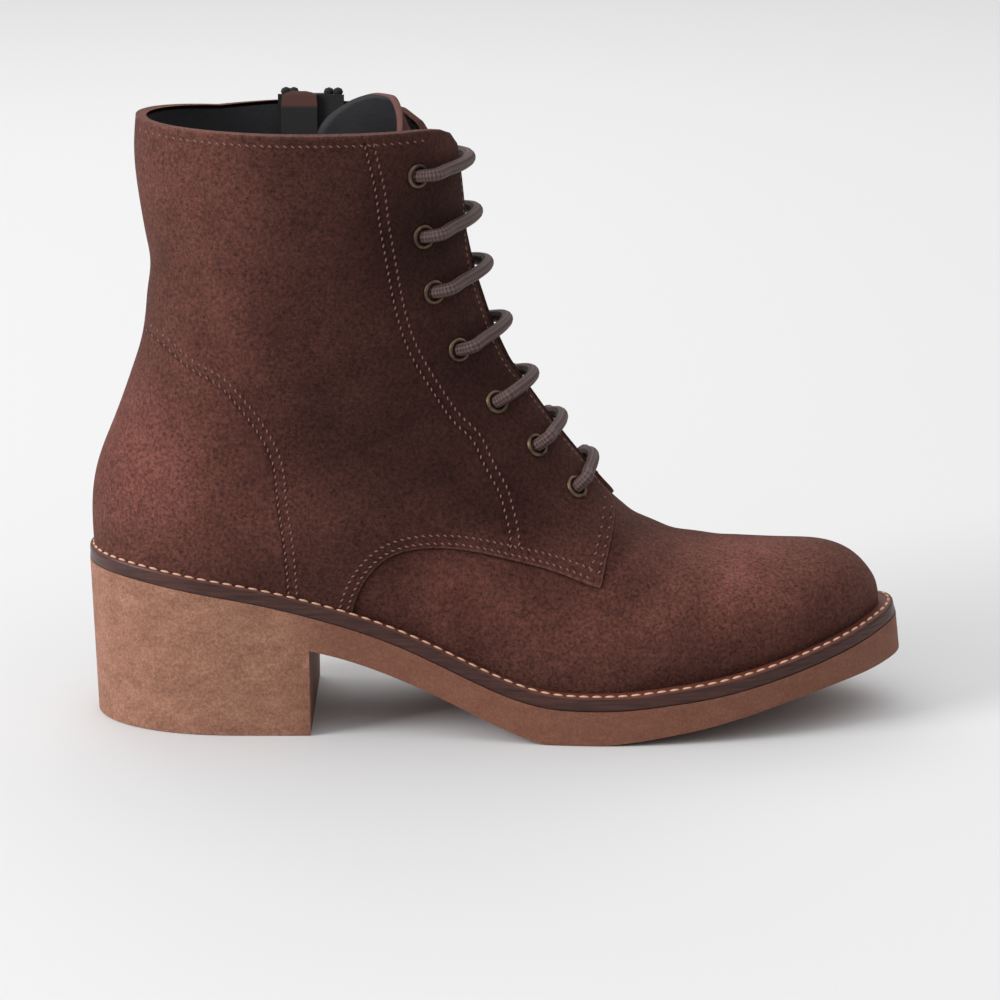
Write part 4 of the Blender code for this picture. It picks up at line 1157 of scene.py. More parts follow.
points = []
for i in range(TONGUE_ROWS + 1):
    for j in range(TONGUE_COLUMNS + 1):
        share = -1 + 2 * j / TONGUE_COLUMNS
        end = float(steady(TONGUE_TOP, 1, share))
        points.append(tongue_point(share, TONGUE_START + (end - TONGUE_START) * i / TONGUE_ROWS))
faces = woven(TONGUE_ROWS + 1, TONGUE_COLUMNS + 1, around=False)
tongue = new_object("tongue_leather", points, faces, SUEDE_PLAIN)
tongue.data.materials.append(LINING)
tongue.data.materials.append(SUEDE_EDGE)
wall = tongue.modifiers.new("wall", "SOLIDIFY")
wall.thickness = TONGUE_THICKNESS
wall.offset = -1
wall.material_offset = 1
wall.material_offset_rim = 2
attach(tongue, BOOT)
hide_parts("tongue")
print("points of the tongue:", len(points))

# %% [markdown]
# ## Welt
# The welt is the leather strip that joins upper and outsole. Its side shows stacked layers and its
# top is lighter, with the stitches on it. It could be a curve with a bevel, but that would turn at
# the toe. So one small profile is set at each turn of the sole's edge, flat, and bent onto the joint.

# %% Welt leather
made = Shader("welt_leather")
layers = made.noise(80.0, 6.0, 0.6, stretch=(1.0, 1.0, 14.0))
colour = made.ramp(layers, (0.3, rgb(44, 26, 24)), (0.7, rgb(80, 49, 43)))
colour = made.mix(made.value("top"), colour, rgb(104, 60, 48))
gloss = made.span(made.value("top"), 0.0, 1.0, 0.38, 0.60)
made.set(Base_Color=colour, Roughness=gloss, Normal=made.bump(layers, 0.0003, 0.5))
made.set(Specular_IOR_Level=0.35)
WELT = made.material
print("nodes of the welt leather:", len(WELT.node_tree.nodes))

# %% Welt
# Columns: place from the outer edge (0) to the inner (1), height (1 = top),
# top face (1) or side (0)
WELT_PROFILE = (
    (0.04, 0.06, 0.0),
    (0.00, 0.20, 0.0),
    (0.02, 0.42, 0.0),
    (0.00, 0.60, 0.0),
    (0.00, 0.86, 0.0),
    (0.03, 0.96, 0.4),
    (0.10, 1.00, 1.0),
    (0.45, 0.98, 1.0),
    (1.00, 1.00, 1.0),
    (1.00, 0.06, 0.0),
)
WELT_TURNS = int(150 * DENSITY)


def joint_point(side, turn, inset=0.0, up=0.0):
    x, y = inset_point(side, turn, inset)
    return sole_point(x, y, up)


near = [(-1, turn) for turn in np.linspace(0, 1, WELT_TURNS)]
back = [(1, turn) for turn in np.linspace(1, 0, WELT_TURNS)]
loop = near + back[1:-1]
points = []
top = []
for side, turn in loop:
    width = WELT_LEDGE * ledge_curve(turn) + WALL
    for place, height, is_top in WELT_PROFILE:
        points.append(joint_point(side, turn, width * place, WELT_THICKNESS * height))
        top.append(is_top)
total = len(points)
rings = woven(len(loop) + 1, len(WELT_PROFILE))
faces = [(a, d % total, c % total, b) for a, b, c, d in rings]
welt = new_object("welt_strip", points, faces, WELT, {"top": top}, sharp=50)
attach(welt, BOOT)
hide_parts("welt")
print("profiles round the welt:", len(loop))

# %% [markdown]
# ## Outsole
# The outsole is moulded in one piece: a block heel, a thin arch and a sole that touches the floor
# under the ball. It could be cut from a block with booleans, but rings of points from the welt
# down to the tread give cleaner sides. A Bevel modifier breaks its sharp edges. The rubber is
# speckled and grained, and painted darker in front of the heel, as shade under the arch.

# %% Rubber
PAINTED_SHADE_START = -0.150
PAINTED_SHADE_END = -0.125
made = Shader("sole_rubber")
speckle = made.noise(1100.0, 4.0, 0.8)
streak = made.noise(110.0, 6.0, 0.7, stretch=(1.0, 1.0, 2.0))
tone = made.math("MULTIPLY_ADD", speckle, 0.65, made.math("MULTIPLY", streak, 0.35))
stops = (0.34, rgb(104, 67, 50)), (0.50, rgb(140, 97, 77)), (0.66, rgb(172, 128, 106))
colour = made.ramp(tone, *stops)
place = made.put("SeparateXYZ", {0: made.put("TexCoord").outputs["Object"]}).outputs[0]
# Painted shade: the rubber turns darker and redder in front of the heel, towards the arch.
painted_shade = made.span(place, HEEL_LENGTH + PAINTED_SHADE_START, HEEL_LENGTH + PAINTED_SHADE_END)
colour = made.mix(made.math("MULTIPLY", painted_shade, 0.65), colour, rgb(98, 53, 36))
rough = made.noise(600.0, 6.0, 0.7)
made.set(Base_Color=colour, Roughness=0.72, Normal=made.bump(rough, 0.00035, 0.6))
RUBBER = made.material
print("nodes of the rubber:", len(RUBBER.node_tree.nodes))

# %% Table of the tread
# The underside in front of the heel.
# Columns: place along JOINT_LENGTH, height as a share of SEAT_HEIGHT
TREAD = (
    (0.2793, 0.5753),
    (0.3203, 0.5205),
    (0.3620, 0.4481),
    (0.4112, 0.3444),
    (0.4600, 0.2270),
    (0.5091, 0.1057),
    (0.5438, 0.0313),
    (0.5661, 0.0000),
    (0.6257, 0.0000),
    (0.6629, 0.0196),
    (0.7006, 0.0509),
    (0.7475, 0.0939),
    (0.7970, 0.1546),
    (0.8492, 0.2270),
    (0.9236, 0.3112),
    (0.9683, 0.3444),
    (1.0000, 0.3699),
)
print("places along the tread:", len(TREAD))

# %% Sides of the outsole
HEEL_TAPER = 0.0014
SIDE_STATIONS = int(160 * DENSITY)
BREAST_DRAFT = 0.0012
TREAD_LEAN = 0.45
LAYERS = 7


def turn_at(x):
    return math.acos(1 - 2 * x / JOINT_LENGTH) / math.pi


def tread_point(side, turn):
    x, y = edge_point(side, turn)
    height = SEAT_HEIGHT * steady(TREAD, 1, x / JOINT_LENGTH)
    tilt = joint_tilt(x)
    shift = (joint_height(x) - height) * math.sin(tilt) * math.cos(tilt) * TREAD_LEAN
    return np.array([x + shift, y, height])


def heel_point(side, turn):
    x, y = inset_point(side, turn, HEEL_TAPER)
    return np.array([x, y, 0.0])


breast = turn_at(HEEL_LENGTH)
heel_turns = np.linspace(0, turn_at(HEEL_LENGTH - BREAST_DRAFT), SIDE_STATIONS // 3)
fore_turns = np.linspace(breast, 1, 2 * SIDE_STATIONS // 3)
stations = [(t, heel_point) for t in heel_turns] + [(t, tread_point) for t in fore_turns]
print("stations along the outsole:", len(stations))

# %% Outsole
points = []
for turn, low in stations:
    ring = []
    for side in (-1, 1):
        top, foot = joint_point(side, turn), low(side, turn)
        edge = [top * (1 - k / LAYERS) + foot * k / LAYERS for k in range(LAYERS + 1)]
        ring += edge[::-1] if side > 0 else edge
    points += ring
faces = woven(len(stations), 2 * LAYERS + 2)
outsole = new_object("outsole_rubber", points, faces, RUBBER)
form = bmesh.new()
form.from_mesh(outsole.data)
bmesh.ops.remove_doubles(form, verts=form.verts, dist=2e-6)
if form.calc_volume(signed=True) < 0:
    bmesh.ops.reverse_faces(form, faces=form.faces)
form.to_mesh(outsole.data)
form.free()
outsole.data.set_sharp_from_angle(angle=math.radians(30))
bevel = outsole.modifiers.new("edge", "BEVEL")
bevel.width = 0.0007
bevel.segments = 2
bevel.angle_limit = math.radians(40)
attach(outsole, BOOT)
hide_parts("outsole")
print("points of the outsole:", len(outsole.data.vertices))

# %% [markdown]
# ## One tree for all that repeats
# Stitches, eyelets and zip teeth are one small shape, many times. Copies made in a loop would be slow
# and heavy to change. A tree of geometry nodes puts the shape at every point instead, turned by two
# directions stored there, makes the copies real and gives them their material. Its inputs are
# named sizes. The result is turned into a plain mesh.

# %% Tree that repeats a shape
def repeat_tree(name, shape, material):
    """Puts a shape, scaled to the named sizes, at each point, its X along and its Z up."""
    tree = bpy.data.node_groups.new(name, "GeometryNodeTree")
    tree.interface.new_socket("Points", in_out="INPUT", socket_type="NodeSocketGeometry")
    length = tree.interface.new_socket("Length", in_out="INPUT", socket_type="NodeSocketFloat")
    width = tree.interface.new_socket("Width", in_out="INPUT", socket_type="NodeSocketFloat")
    height = tree.interface.new_socket("Height", in_out="INPUT", socket_type="NodeSocketFloat")
    tree.interface.new_socket("Shapes", in_out="OUTPUT", socket_type="NodeSocketGeometry")
    node = tree.nodes.new
    link = tree.links.new
    source = node("NodeGroupInput")
    target = node("NodeGroupOutput")
    body = shape(tree, source)
    turn = None
    for key, axis in (("up", "Z"), ("along", "X")):
        named = node("GeometryNodeInputNamedAttribute")
        named.data_type = "FLOAT_VECTOR"
        named.inputs["Name"].default_value = key
        align = node("FunctionNodeAlignRotationToVector")
        align.axis = axis
        align.pivot_axis = "AUTO" if turn is None else "Z"
        link(named.outputs["Attribute"], align.inputs["Vector"])
        if turn is not None:
            link(turn, align.inputs["Rotation"])
        turn = align.outputs[0]
    place = node("GeometryNodeInstanceOnPoints")
    link(source.outputs["Points"], place.inputs["Points"])
    link(body, place.inputs["Instance"])
    link(turn, place.inputs["Rotation"])
    real = node("GeometryNodeRealizeInstances")
    link(place.outputs[0], real.inputs[0])
    paint = node("GeometryNodeSetMaterial")
    paint.inputs["Material"].default_value = material
    link(real.outputs[0], paint.inputs[0])
    link(paint.outputs[0], target.inputs[0])
    return tree, (length.identifier, width.identifier, height.identifier)

# %% Two shapes
def bead(tree, source):
    """A stitch: a small round bead stretched to its sizes."""
    ball = tree.nodes.new("GeometryNodeMeshUVSphere")
    ball.inputs["Segments"].default_value = 8
    ball.inputs["Rings"].default_value = 5
    ball.inputs["Radius"].default_value = 0.5
    sizes = tree.nodes.new("ShaderNodeCombineXYZ")
    for k, key in enumerate(("Length", "Width", "Height")):
        tree.links.new(source.outputs[key], sizes.inputs[k])
    scaled = tree.nodes.new("GeometryNodeTransform")
    tree.links.new(ball.outputs["Mesh"], scaled.inputs["Geometry"])
    tree.links.new(sizes.outputs[0], scaled.inputs["Scale"])
    return scaled.outputs[0]


def ring(tree, source):
    """An eyelet: a circle of the named length across, swept with a flat round profile."""
    half = tree.nodes.new("ShaderNodeMath")
    half.operation = "MULTIPLY"
    half.inputs[1].default_value = 0.5
    tree.links.new(source.outputs["Length"], half.inputs[0])
    big = tree.nodes.new("GeometryNodeCurvePrimitiveCircle")
    big.inputs["Resolution"].default_value = 40
    tree.links.new(half.outputs[0], big.inputs["Radius"])
    small = tree.nodes.new("GeometryNodeCurvePrimitiveCircle")
    small.inputs["Resolution"].default_value = 12
    small.inputs["Radius"].default_value = 0.5
    sizes = tree.nodes.new("ShaderNodeCombineXYZ")
    for k, key in enumerate(("Width", "Height")):
        tree.links.new(source.outputs[key], sizes.inputs[k])
    sizes.inputs[2].default_value = 1.0
    flat = tree.nodes.new("GeometryNodeTransform")
    tree.links.new(small.outputs[0], flat.inputs["Geometry"])
    tree.links.new(sizes.outputs[0], flat.inputs["Scale"])
    sweep = tree.nodes.new("GeometryNodeCurveToMesh")
    tree.links.new(big.outputs[0], sweep.inputs["Curve"])
    tree.links.new(flat.outputs[0], sweep.inputs["Profile Curve"])
    return sweep.outputs[0]

# %% From tree to mesh
def repeated(name, tree_and_sockets, places, sizes):
    """One plain mesh with the tree's shape at each place of point, along and up."""
    tree, sockets = tree_and_sockets
    mesh = bpy.data.meshes.new(name)
    mesh.from_pydata([(p - ROW_ORIGIN).tolist() for p, _, _ in places], [], [])
    for key, k in (("along", 1), ("up", 2)):
        layer = mesh.attributes.new(key, "FLOAT_VECTOR", "POINT")
        vectors = np.array([place[k] for place in places], np.float32)
        layer.data.foreach_set("vector", vectors.ravel())
    holder = bpy.data.objects.new(name + "_points", mesh)
    bpy.context.scene.collection.objects.link(holder)
    nodes = holder.modifiers.new("repeat", "NODES")
    nodes.node_group = tree
    for socket, size in zip(sockets, sizes):
        nodes[socket] = size
    bpy.context.view_layer.update()
    graph = bpy.context.evaluated_depsgraph_get()
    plain = bpy.data.meshes.new_from_object(holder.evaluated_get(graph), depsgraph=graph)
    plain.name = name
    plain.shade_smooth()
    bpy.data.objects.remove(holder)
    made = bpy.data.objects.new(name, plain)
    bpy.context.scene.collection.objects.link(made)
    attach(made, BOOT)
    print(name, "repeats:", len(places))
    return made

# %% [markdown]
# ## Stitches of the upper
# Thread lies on the leather in short beads, each a little aslant, because the needle twists it.
# Painted stitches have no shadow, so each one here is a bead of its own. A line is first cut to
# equal steps, and each step gets a place, a direction and the height of the leather below it.

# %% Steps along a line
made = Shader("thread")
made.set(Base_Color=(*rgb(124, 86, 79), 1.0), Roughness=0.75)
THREAD = made.material
PITCH = 0.0023
SLANT = 0.55


def spaced(line, pitch):
    along = lengths_along(line)
    at = np.arange(pitch / 2, along[-1], pitch)
    return np.stack([np.interp(at, along, line[:, k]) for k in range(line.shape[1])], axis=1)


def moved(line, distance):
    """A line in x and z moved to its left."""
    ahead = np.gradient(line, axis=0)
    ahead /= np.linalg.norm(ahead, axis=1, keepdims=True)
    return line + distance * np.stack([-ahead[:, 1], ahead[:, 0]], axis=1)


print("stitches along the eyestay seam:", len(spaced(eyestay_line, PITCH)))

# %% Places along a seam
# Distance from the middle plane that stays free of stitches: at the back seam, at the front, and
# beside the leaning top of the tongue
BACK_FREE = 0.0008
FRONT_FREE = 0.0045
TONGUE_FREE = 0.018
SHAFT_MIDDLE = 0.09
TONGUE_LEVEL = 0.18


def stitch_places(side, line, height):
    """Places of stitches on one side of the boot, along a line in x and z."""
    out = []
    at = spaced(line, PITCH)
    for k, (x, z) in enumerate(at):
        point, normal = side_frame(side, x, z)
        free = BACK_FREE if x < SHAFT_MIDDLE else FRONT_FREE
        if side > 0 and x > SHAFT_MIDDLE and z > TONGUE_LEVEL:
            free = TONGUE_FREE
        if z > collar_at(side, x) - 0.001 or abs(point[1]) < free:
            continue
        nx, nz = at[min(k + 1, len(at) - 1)] - at[max(k - 1, 0)]
        ahead = side_point(side, x + nx * 0.2, z + nz * 0.2) - point
        size = np.linalg.norm(ahead)
        lift = height + float(crease_height(np.array([[x, 0, z]]))[0])
        ahead /= max(size, 1e-9)
        slant = ahead + side * SLANT * np.cross(normal, ahead)
        out.append((point + normal * lift, slant / np.linalg.norm(slant), normal))
    return out


print("of them on the outer side:", len(stitch_places(-1, eyestay_line, QUARTER_STEP)))

# %% Places along the throat
def throat_places(side, inset, rows, height):
    """Places of stitches along the throat's edge, up to the round corner of the collar."""
    line = []
    for row in rows:
        curve, along = section(row, side, 90)
        gap = BALL_WIDTH * float(throat_gaps[side](row))
        way = float(np.interp(gap, np.maximum.accumulate(side * curve[:, 1]), along))
        point, normal, over = skin_frame(row, side * (way + inset))
        if point[2] < collar_at(side, point[0]) - 0.0030:
            line.append((point, normal))
    along = lengths_along(np.array([p for p, _ in line]))
    out = []
    for at in np.arange(PITCH, along[-1], PITCH):
        k = min(int(np.searchsorted(along, at)), len(line) - 2)
        point, normal = line[k]
        ahead = line[k + 1][0] - line[k - 1][0]
        out.append((point + normal * height, ahead / np.linalg.norm(ahead), normal))
    return out

# %% Sew the upper
STITCH_HEIGHT = QUARTER_STEP + 0.00005
EDGE_INSETS = (0.0016, 0.0042)
THROAT_INSET = 0.0018
THROAT_ROWS = np.arange(9.6, 23.8, 0.06)
COLLAR_INSET = 0.0032
COLLAR_XS = np.arange(0.006, 0.112, 0.001)
places = []
for side in (-1, 1):
    for seam in (eyestay_line, counter_line):
        for line in (seam, moved(seam, STITCH_GAP)):
            places += stitch_places(side, line, STITCH_HEIGHT)
    for inset in EDGE_INSETS:
        places += stitch_places(side, moved(bottom_edge, inset)[2:-4], STITCH_HEIGHT)
        places += stitch_places(side, moved(front_edge, inset)[3:], STITCH_HEIGHT)
    below_collar = [float(collar_at(side, x)) - COLLAR_INSET for x in COLLAR_XS]
    collar_line = np.stack([COLLAR_XS, below_collar], axis=1)
    places += stitch_places(side, collar_line, STITCH_HEIGHT)
    places += throat_places(side, THROAT_INSET, THROAT_ROWS, STITCH_HEIGHT)
STITCH_SIZE = (0.0014, 0.00055, 0.0005)
repeated("upper_stitches", repeat_tree("stitches", bead, THREAD), places, STITCH_SIZE)

# %% [markdown]
# ## Stitches of the welt
# A thicker, paler thread sews the welt to the outsole, with long stitches all the way round. They
# follow a line a quarter of the way in from the edge and lie in the tilt of the joint.

# %% Sew the welt
made = Shader("welt_thread")
made.set(Base_Color=(*rgb(201, 160, 134), 1.0), Roughness=0.7)
WELT_THREAD = made.material
WELT_PITCH = 0.0042
WELT_STITCH_IN = 0.26
WELT_STITCH_SIZE = (0.0034, 0.0011, 0.0010)
inset = WELT_LEDGE * WELT_STITCH_IN
line = np.array([joint_point(s, t, inset, WELT_THICKNESS) for s, t in loop + loop[:1]])
along = lengths_along(line)
places = []
for at in np.arange(0, along[-1] - WELT_PITCH / 2, WELT_PITCH):
    point = np.array([np.interp(at, along, line[:, k]) for k in range(3)])
    ahead = np.array([np.interp(at + 0.0005, along, line[:, k]) for k in range(3)]) - point
    ahead /= np.linalg.norm(ahead)
    tilt = joint_tilt(point[0])
    places.append((point, ahead, np.array([-math.sin(tilt), 0.0, math.cos(tilt)])))
welt_tree = repeat_tree("welt_stitches", bead, WELT_THREAD)
repeated("welt_stitches", welt_tree, places, WELT_STITCH_SIZE)

# %% [markdown]
# ## Eyelets
# An eyelet is a brass tube pressed through the leather and rolled over at its face. Only the rolled
# ring shows. It is a circle swept with a flat round profile, and its size is known in real
# life. The brass is dark in its spots, as aged metal is.

# %% Eyelets
made = Shader("antique_brass")
wear_and_painted_light = made.noise(260.0, 4.0, 0.6)
colour = made.ramp(wear_and_painted_light, (0.3, rgb(66, 54, 46)), (0.7, rgb(124, 104, 86)))
made.set(Base_Color=colour, Metallic=0.9, Roughness=0.42)
BRASS = made.material
# Columns: section row, way round from the ridge as a share of BALL_WIDTH
EYELETS = (
    (10.30, 0.192),
    (11.80, 0.200),
    (13.70, 0.217),
    (16.75, 0.260),
    (19.20, 0.295),
    (21.00, 0.303),
    (22.65, 0.303),
)
EYELET_DIAMETER = 0.0079
EYELET_BORE = 0.0050
EYELET_HEIGHT = 0.0008
RING_RISE = 0.0003
places = []
for row, share in EYELETS:
    for side in (-1, 1):
        point, normal, over = skin_frame(row, side * share * BALL_WIDTH)
        places.append((point + normal * (QUARTER_STEP + RING_RISE), over, normal))
ring_width = (EYELET_DIAMETER - EYELET_BORE) / 2
ring_sizes = (EYELET_DIAMETER - ring_width, ring_width, EYELET_HEIGHT * 1.6)
eyelet_tree = repeat_tree("eyelet_rings", ring, BRASS)
rings = repeated("eyelet_rings", eyelet_tree, places, ring_sizes)
numbers = range(1, len(EYELETS) + 1)
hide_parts(*["eyelet_%s_%d" % (word, k) for word in ("outer", "inner") for k in numbers])

# %% [markdown]
# ## Lace
# One round braided lace runs through all the eyelets: straight bars outside, and hidden climbs
# between tongue and quarter, where it lies flat. It could be seven loose bars, but then its ends
# would show in the holes. A tube along one path keeps it whole. Each bar dips into its eyelet and
# rises over the ring. The braid is two sines that wind round the cord in opposite ways.

# %% Braid
STRANDS = 4
WINDING = 3600.0
made = Shader("lace_cord")
along = made.value("along")
around = made.math("MULTIPLY", made.value("round"), 2 * math.pi * STRANDS)
one = made.math("SINE", made.math("MULTIPLY_ADD", along, WINDING, around))
back = made.math("MULTIPLY", around, -1.0)
two = made.math("SINE", made.math("MULTIPLY_ADD", along, WINDING, back))
weave = made.math("MULTIPLY", one, two)
# The colour follows the braid's bump: painted shade between the strands, lighter on their crests.
colour = made.ramp(made.span(weave, -1.0, 1.0), (0.0, rgb(56, 40, 38)), (1.0, rgb(98, 76, 72)))
made.set(Base_Color=colour, Roughness=0.6, Normal=made.bump(weave, 0.00022, 0.8))
LACE = made.material
print("nodes of the braid:", len(LACE.node_tree.nodes))

# %% A round cord
def tube(name, path, radii, material, sides=14):
    """A round cord along a path, with a UV map of centimetres along it and turns."""
    path = np.asarray(path)
    ahead = np.gradient(path, axis=0)
    ahead /= np.linalg.norm(ahead, axis=1, keepdims=True)
    along = lengths_along(path)
    up = np.cross(ahead[0], [0.0, 0.0, 1.0])
    points = []
    uv = []
    for k in range(len(path)):
        up = up - ahead[k] * np.dot(up, ahead[k])
        up /= np.linalg.norm(up)
        over = np.cross(ahead[k], up)
        for j in range(sides):
            turn = 2 * math.pi * j / sides
            points.append(path[k] + radii[k] * (up * math.cos(turn) + over * math.sin(turn)))
            uv.append((along[k] * 100, j / sides))
    faces = woven(len(path), sides)
    faces.append(tuple(range(sides - 1, -1, -1)))
    faces.append(tuple(range((len(path) - 1) * sides, len(path) * sides)))
    made = new_object(name, points, faces, material, uv=uv, sharp=60)
    values = made.data.attributes.new("round", "FLOAT", "POINT")
    values.data.foreach_set("value", np.tile(np.arange(sides) / sides, len(path)).astype(np.float32))
    values = made.data.attributes.new("along", "FLOAT", "POINT")
    values.data.foreach_set("value", np.repeat(along, sides).astype(np.float32))
    return made

# %% One bar of the lace
LACE_DIAMETER = 0.0042
LACE_RADIUS = LACE_DIAMETER / 2
OUTER, INNER = -1, 1
# A bar lies a little over the leather, arches over the rings and dips into the eyelets
LACE_GAP = 0.0004
ARCH_START = 0.72
ARCH_RISE = 0.0019
DIP_START = 0.93
DIP_DEPTH = 0.0022
CLIMB_SHARES = (0.15, 0.3, 0.5, 0.7, 0.85)
CLIMB_DEPTH = 0.0008
CLIMB_FLATNESS = 0.3
END_SHARES = [0.985, 0.955, 0.91]
LACE_DEPTHS = (-0.0040, -0.0016, 0.0010)
LACE_ORDER = (
    (INNER, 7), (OUTER, 7), (OUTER, 5), (INNER, 5), (INNER, 3), (OUTER, 3), (OUTER, 1),
    (INNER, 1), (INNER, 2), (OUTER, 2), (OUTER, 4), (INNER, 4), (INNER, 6), (OUTER, 6),
)
across_middle = np.linspace(0.84, -0.84, 21)
BAR_SHARES = np.concatenate([END_SHARES, across_middle, [-share for share in END_SHARES[::-1]]])


def eyelet_way(side, number):
    row, share = EYELETS[number - 1]
    return row, side * share * BALL_WIDTH


def climb_way(row, side):
    """The way round on the eyelets' line between two eyelets."""
    rows, shares = zip(*EYELETS)
    return side * BALL_WIDTH * float(np.interp(row, rows, shares))


def bar(side, number):
    """Points of one bar outside the boot, from one side to the other."""
    row, way = eyelet_way(side, number)
    out = []
    start, normal, over = skin_frame(row, way)
    for depth in LACE_DEPTHS:
        out.append(start + normal * depth)
    for share in BAR_SHARES:
        point, normal, over = skin_frame(row, way * share)
        close = max(0.0, (abs(share) - ARCH_START) / (1 - ARCH_START))
        rise = QUARTER_STEP + LACE_RADIUS + LACE_GAP
        rise += ARCH_RISE * math.sin(math.pi * min(1.0, close * 1.25)) if close > 0 else 0.0
        drop = max(0.0, (abs(share) - DIP_START) / (1 - DIP_START))
        out.append(point + normal * (rise - DIP_DEPTH * drop))
    stop, normal, over = skin_frame(row, -way)
    for depth in LACE_DEPTHS[::-1]:
        out.append(stop + normal * depth)
    return out

# %% The whole lace
path = []
radii = []
for k in range(0, len(LACE_ORDER), 2):
    side, number = LACE_ORDER[k]
    points = bar(side, number)
    path += points
    ends = [LACE_RADIUS * 0.9] * 2
    radii += ends + [LACE_RADIUS] * (len(points) - 4) + ends
    if k + 2 < len(LACE_ORDER):
        next_row = EYELETS[LACE_ORDER[k + 2][1] - 1][0]
        this_row = EYELETS[number - 1][0]
        for share in CLIMB_SHARES:
            row = this_row + (next_row - this_row) * share
            point, normal, over = skin_frame(row, climb_way(row, -side))
            path.append(point - normal * (WALL + CLIMB_DEPTH))
            radii.append(LACE_RADIUS * CLIMB_FLATNESS)
rows_fine = np.linspace(0, len(path) - 1, len(path) * 3)
path = np.array(path)
places_on = np.arange(len(path))
fine = np.stack([np.interp(rows_fine, places_on, path[:, k]) for k in range(3)], axis=1)
for _ in range(3):
    fine[1:-1] = (fine[:-2] + 2 * fine[1:-1] + fine[2:]) / 4
fine_radii = np.interp(rows_fine, places_on, radii)
lace = tube("lace", fine, fine_radii, LACE)
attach(lace, BOOT)
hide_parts(*["lace_bar_%d" % k for k in range(1, len(EYELETS) + 1)])
print("lace in mm:", round(lengths_along(fine)[-1] * 1000))

# %% [markdown]
# ## Zip
# The zip runs up the inner side past the ankle bone, so that the boot opens without unlacing.
# Slider, pull tab, chain and guard are small and flat, so they keep the frame's solids and only get
# materials. The pull tab turns on its pin. The guard
# behind the zip is black, with a nubuck top over the collar.

# %% Zip materials
made = Shader("zip_cloth")
made.set(Base_Color=(*rgb(26, 26, 28), 1.0), Roughness=0.85)
made.set(Normal=made.bump(made.noise(1400.0), 0.0003, 0.5))
ZIP_CLOTH = made.material
made = Shader("zip_metal")
made.set(Base_Color=(*rgb(150, 143, 134), 1.0), Metallic=1.0, Roughness=0.34)
ZIP_METAL = made.material
GUARD_TURNS_BROWN = (0.982, 0.990)
made = Shader("zip_guard")
height = made.put("SeparateXYZ", {0: made.put("TexCoord").outputs["Object"]}).outputs[2]
above = made.span(height, *[COLLAR_HEIGHT * share for share in GUARD_TURNS_BROWN])
made.set(Base_Color=made.mix(above, rgb(30, 30, 32), SUEDE_MID), Roughness=0.8)
GUARD = made.material
KEPT_SOLIDS = {
    "insole": LINING,
    "zip_chain": ZIP_CLOTH,
    "zip_guard": GUARD,
    "zip_slider": ZIP_METAL,
    "zip_pull": ZIP_METAL,
}
for name, material in KEPT_SOLIDS.items():
    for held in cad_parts[name].material_slots:
        held.material = material
print("solids kept from the frame:", len(KEPT_SOLIDS))

# %% [markdown]
# ## Teeth
# A tooth is a short metal bar across the chain. The teeth repeat along the zip's line, which lies
# on the leather as the seams do. The tape's ends are folded over beside the slider, as four soft rolls.

# %% Line of the zip
# The zip's line on the inner side: x as a share of FOOT_LENGTH, z as a share of COLLAR_HEIGHT
ZIP_LINE = (
    (0.2960, 0.3350),
    (0.2880, 0.4500),
    (0.2800, 0.6000),
    (0.2760, 0.7600),
    (0.2740, 0.9000),
    (0.2740, 1.0000),
)


def zip_frame(share):
    line = Smooth(tuple((z, x) for x, z in ZIP_LINE), 1)
    point, normal = side_frame(1, FOOT_LENGTH * float(line(share)), share * COLLAR_HEIGHT)
    above = share + 0.005
    ahead = side_point(1, FOOT_LENGTH * float(line(above)), above * COLLAR_HEIGHT) - point
    return point, normal, ahead / np.linalg.norm(ahead)


print("zip runs up to x, z in mm:", np.round(1000 * zip_frame(1.0)[0][[0, 2]], 1))

# %% Teeth
TEETH_PITCH = 0.0016
TEETH_END = 0.945
TOOTH_SIZE = (0.0042, 0.0011, 0.0010)
TOOTH_RISE = 0.0004
places = []
count = int(COLLAR_HEIGHT * (TEETH_END - ZIP_LINE[0][1]) / TEETH_PITCH)
for share in np.linspace(ZIP_LINE[0][1] + 0.005, TEETH_END, count):
    point, normal, ahead = zip_frame(share)
    over = np.cross(normal, ahead)
    places.append((point + normal * (QUARTER_STEP + TOOTH_RISE), over, normal))
teeth_tree = repeat_tree("zip_teeth", bead, ZIP_METAL)
repeated("zip_teeth", teeth_tree, places, TOOTH_SIZE)

# %% Folded ends of the tape
TAPE_FOLDS = (-0.0088, -0.0062, 0.0056, 0.0086)
FOLD_SIZE = (0.0036, 0.0032, 0.0028)
FOLD_RISE = 0.0012
FOLD_DEPTH = 0.0018
point, normal, ahead = zip_frame(1.0)
over = np.cross(normal, ahead)
middle = point + ahead * FOLD_RISE - normal * FOLD_DEPTH
places = [(middle + over * x, over, normal) for x in TAPE_FOLDS]
fold_tree = repeat_tree("tape_folds", bead, ZIP_CLOTH)
repeated("tape_folds", fold_tree, places, FOLD_SIZE)

# %% [markdown]
# ## Camera
# The camera stands where the photograph's stood: about a metre away on the outer side, looking down
# a little with a long lens, so that the boot is hardly foreshortened.

# %% Camera
scene = bpy.context.scene
scene.view_settings.view_transform = "Standard"
camera = bpy.data.objects.new("camera", bpy.data.cameras.new("camera"))
CAMERA_PLACE = (0.1359, -1.0907, 0.3691)
LOOKS_DOWN = 15.3
camera.data.lens = 123.12
camera.data.sensor_width = 36.0
camera.location = Vector(CAMERA_PLACE) - Vector(ROW_ORIGIN)
camera.rotation_euler = (math.radians(90 - LOOKS_DOWN), 0.0, 0.0)
scene.collection.objects.link(camera)
scene.camera = camera
print("lens in mm:", round(camera.data.lens, 1))

# %% [markdown]
# ## Floor
# A product picture has a pale floor that runs into the wall. A curved backdrop would do that too, but
# a wide plane is simpler, and it stays out of the object because it is declared as stage.

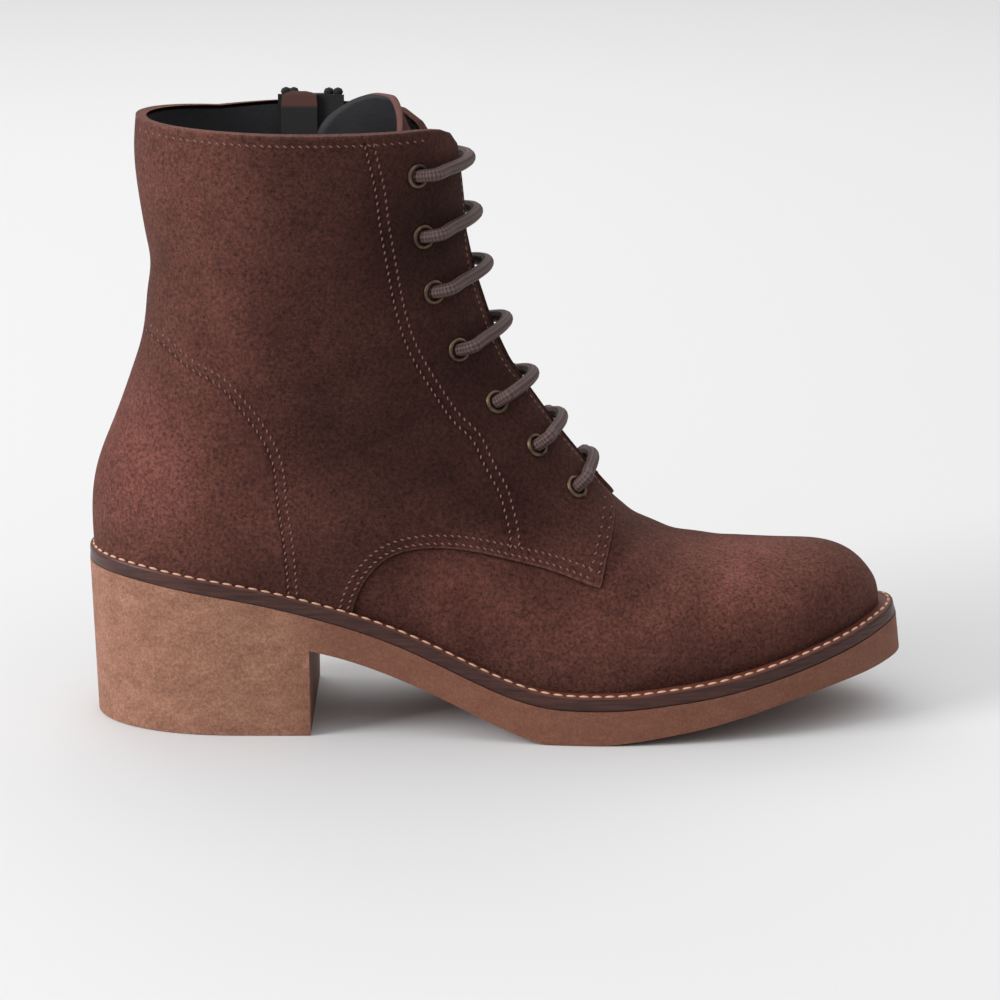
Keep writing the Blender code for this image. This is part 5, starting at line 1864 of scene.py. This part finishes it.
# %% Floor
floor_shader = Shader("floor")
floor_shader.set(Base_Color=(0.645, 0.645, 0.65, 1.0), Roughness=0.9)
bpy.ops.mesh.primitive_plane_add(size=14.0, location=(0.0, 0.0, -0.0002))
floor = bpy.context.active_object
floor.name = "floor"
floor.data.materials.append(floor_shader.material)
floor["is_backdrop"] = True
print("stage:", floor.name)

# %% [markdown]
# ## Light
# A large lamp high on the left is the key light and draws the soft shadow on the right. A weak one
# stands behind. The sky is brighter above than at the horizon, which models the boot from the top
# as a studio's ceiling does.

# %% Lamps
def area(name, place, target, size, power, colour=(1.0, 1.0, 1.0)):
    light = bpy.data.objects.new(name, bpy.data.lights.new(name, "AREA"))
    light.data.shape = "RECTANGLE"
    light.data.size = size[0]
    light.data.size_y = size[1]
    light.data.energy = power
    light.data.color = colour
    light.location = place
    light.rotation_euler = (Vector(target) - Vector(place)).to_track_quat("-Z", "Y").to_euler()
    scene.collection.objects.link(light)


area("key", (-2.4, -1.0, 1.25), (0.0, 0.0, 0.08), (1.2, 1.2), 62.0)
area("back", (-0.3, 1.4, 1.3), (0.0, 0.0, 0.10), (1.4, 0.8), 5.0)
print("lamps:", len(bpy.data.lights))

# %% Sky
# Height of a direction, and the brightness of the sky there
SKY = {"From Min": 0.05, "From Max": 0.75, "To Min": 0.04, "To Max": 1.22}
world = bpy.data.worlds.new("studio")
world.use_nodes = True
nodes = world.node_tree.nodes
sky = nodes.new("ShaderNodeMapRange")
for key, value in SKY.items():
    sky.inputs[key].default_value = value
way = nodes.new("ShaderNodeSeparateXYZ")
world.node_tree.links.new(nodes.new("ShaderNodeTexCoord").outputs["Generated"], way.inputs[0])
world.node_tree.links.new(way.outputs[2], sky.inputs["Value"])
world.node_tree.links.new(sky.outputs[0], nodes["Background"].inputs["Strength"])
nodes["Background"].inputs["Color"].default_value = (1.0, 1.0, 1.0, 1.0)
scene.world = world
print("sky:", SKY)

# %% [markdown]
# ## Sizes
# A dressed part has to stay within the sizes that were packed.

# %% Finish
low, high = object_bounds()
print("dressed size in mm:", [round(1000 * (b - a), 1) for a, b in zip(low, high)])
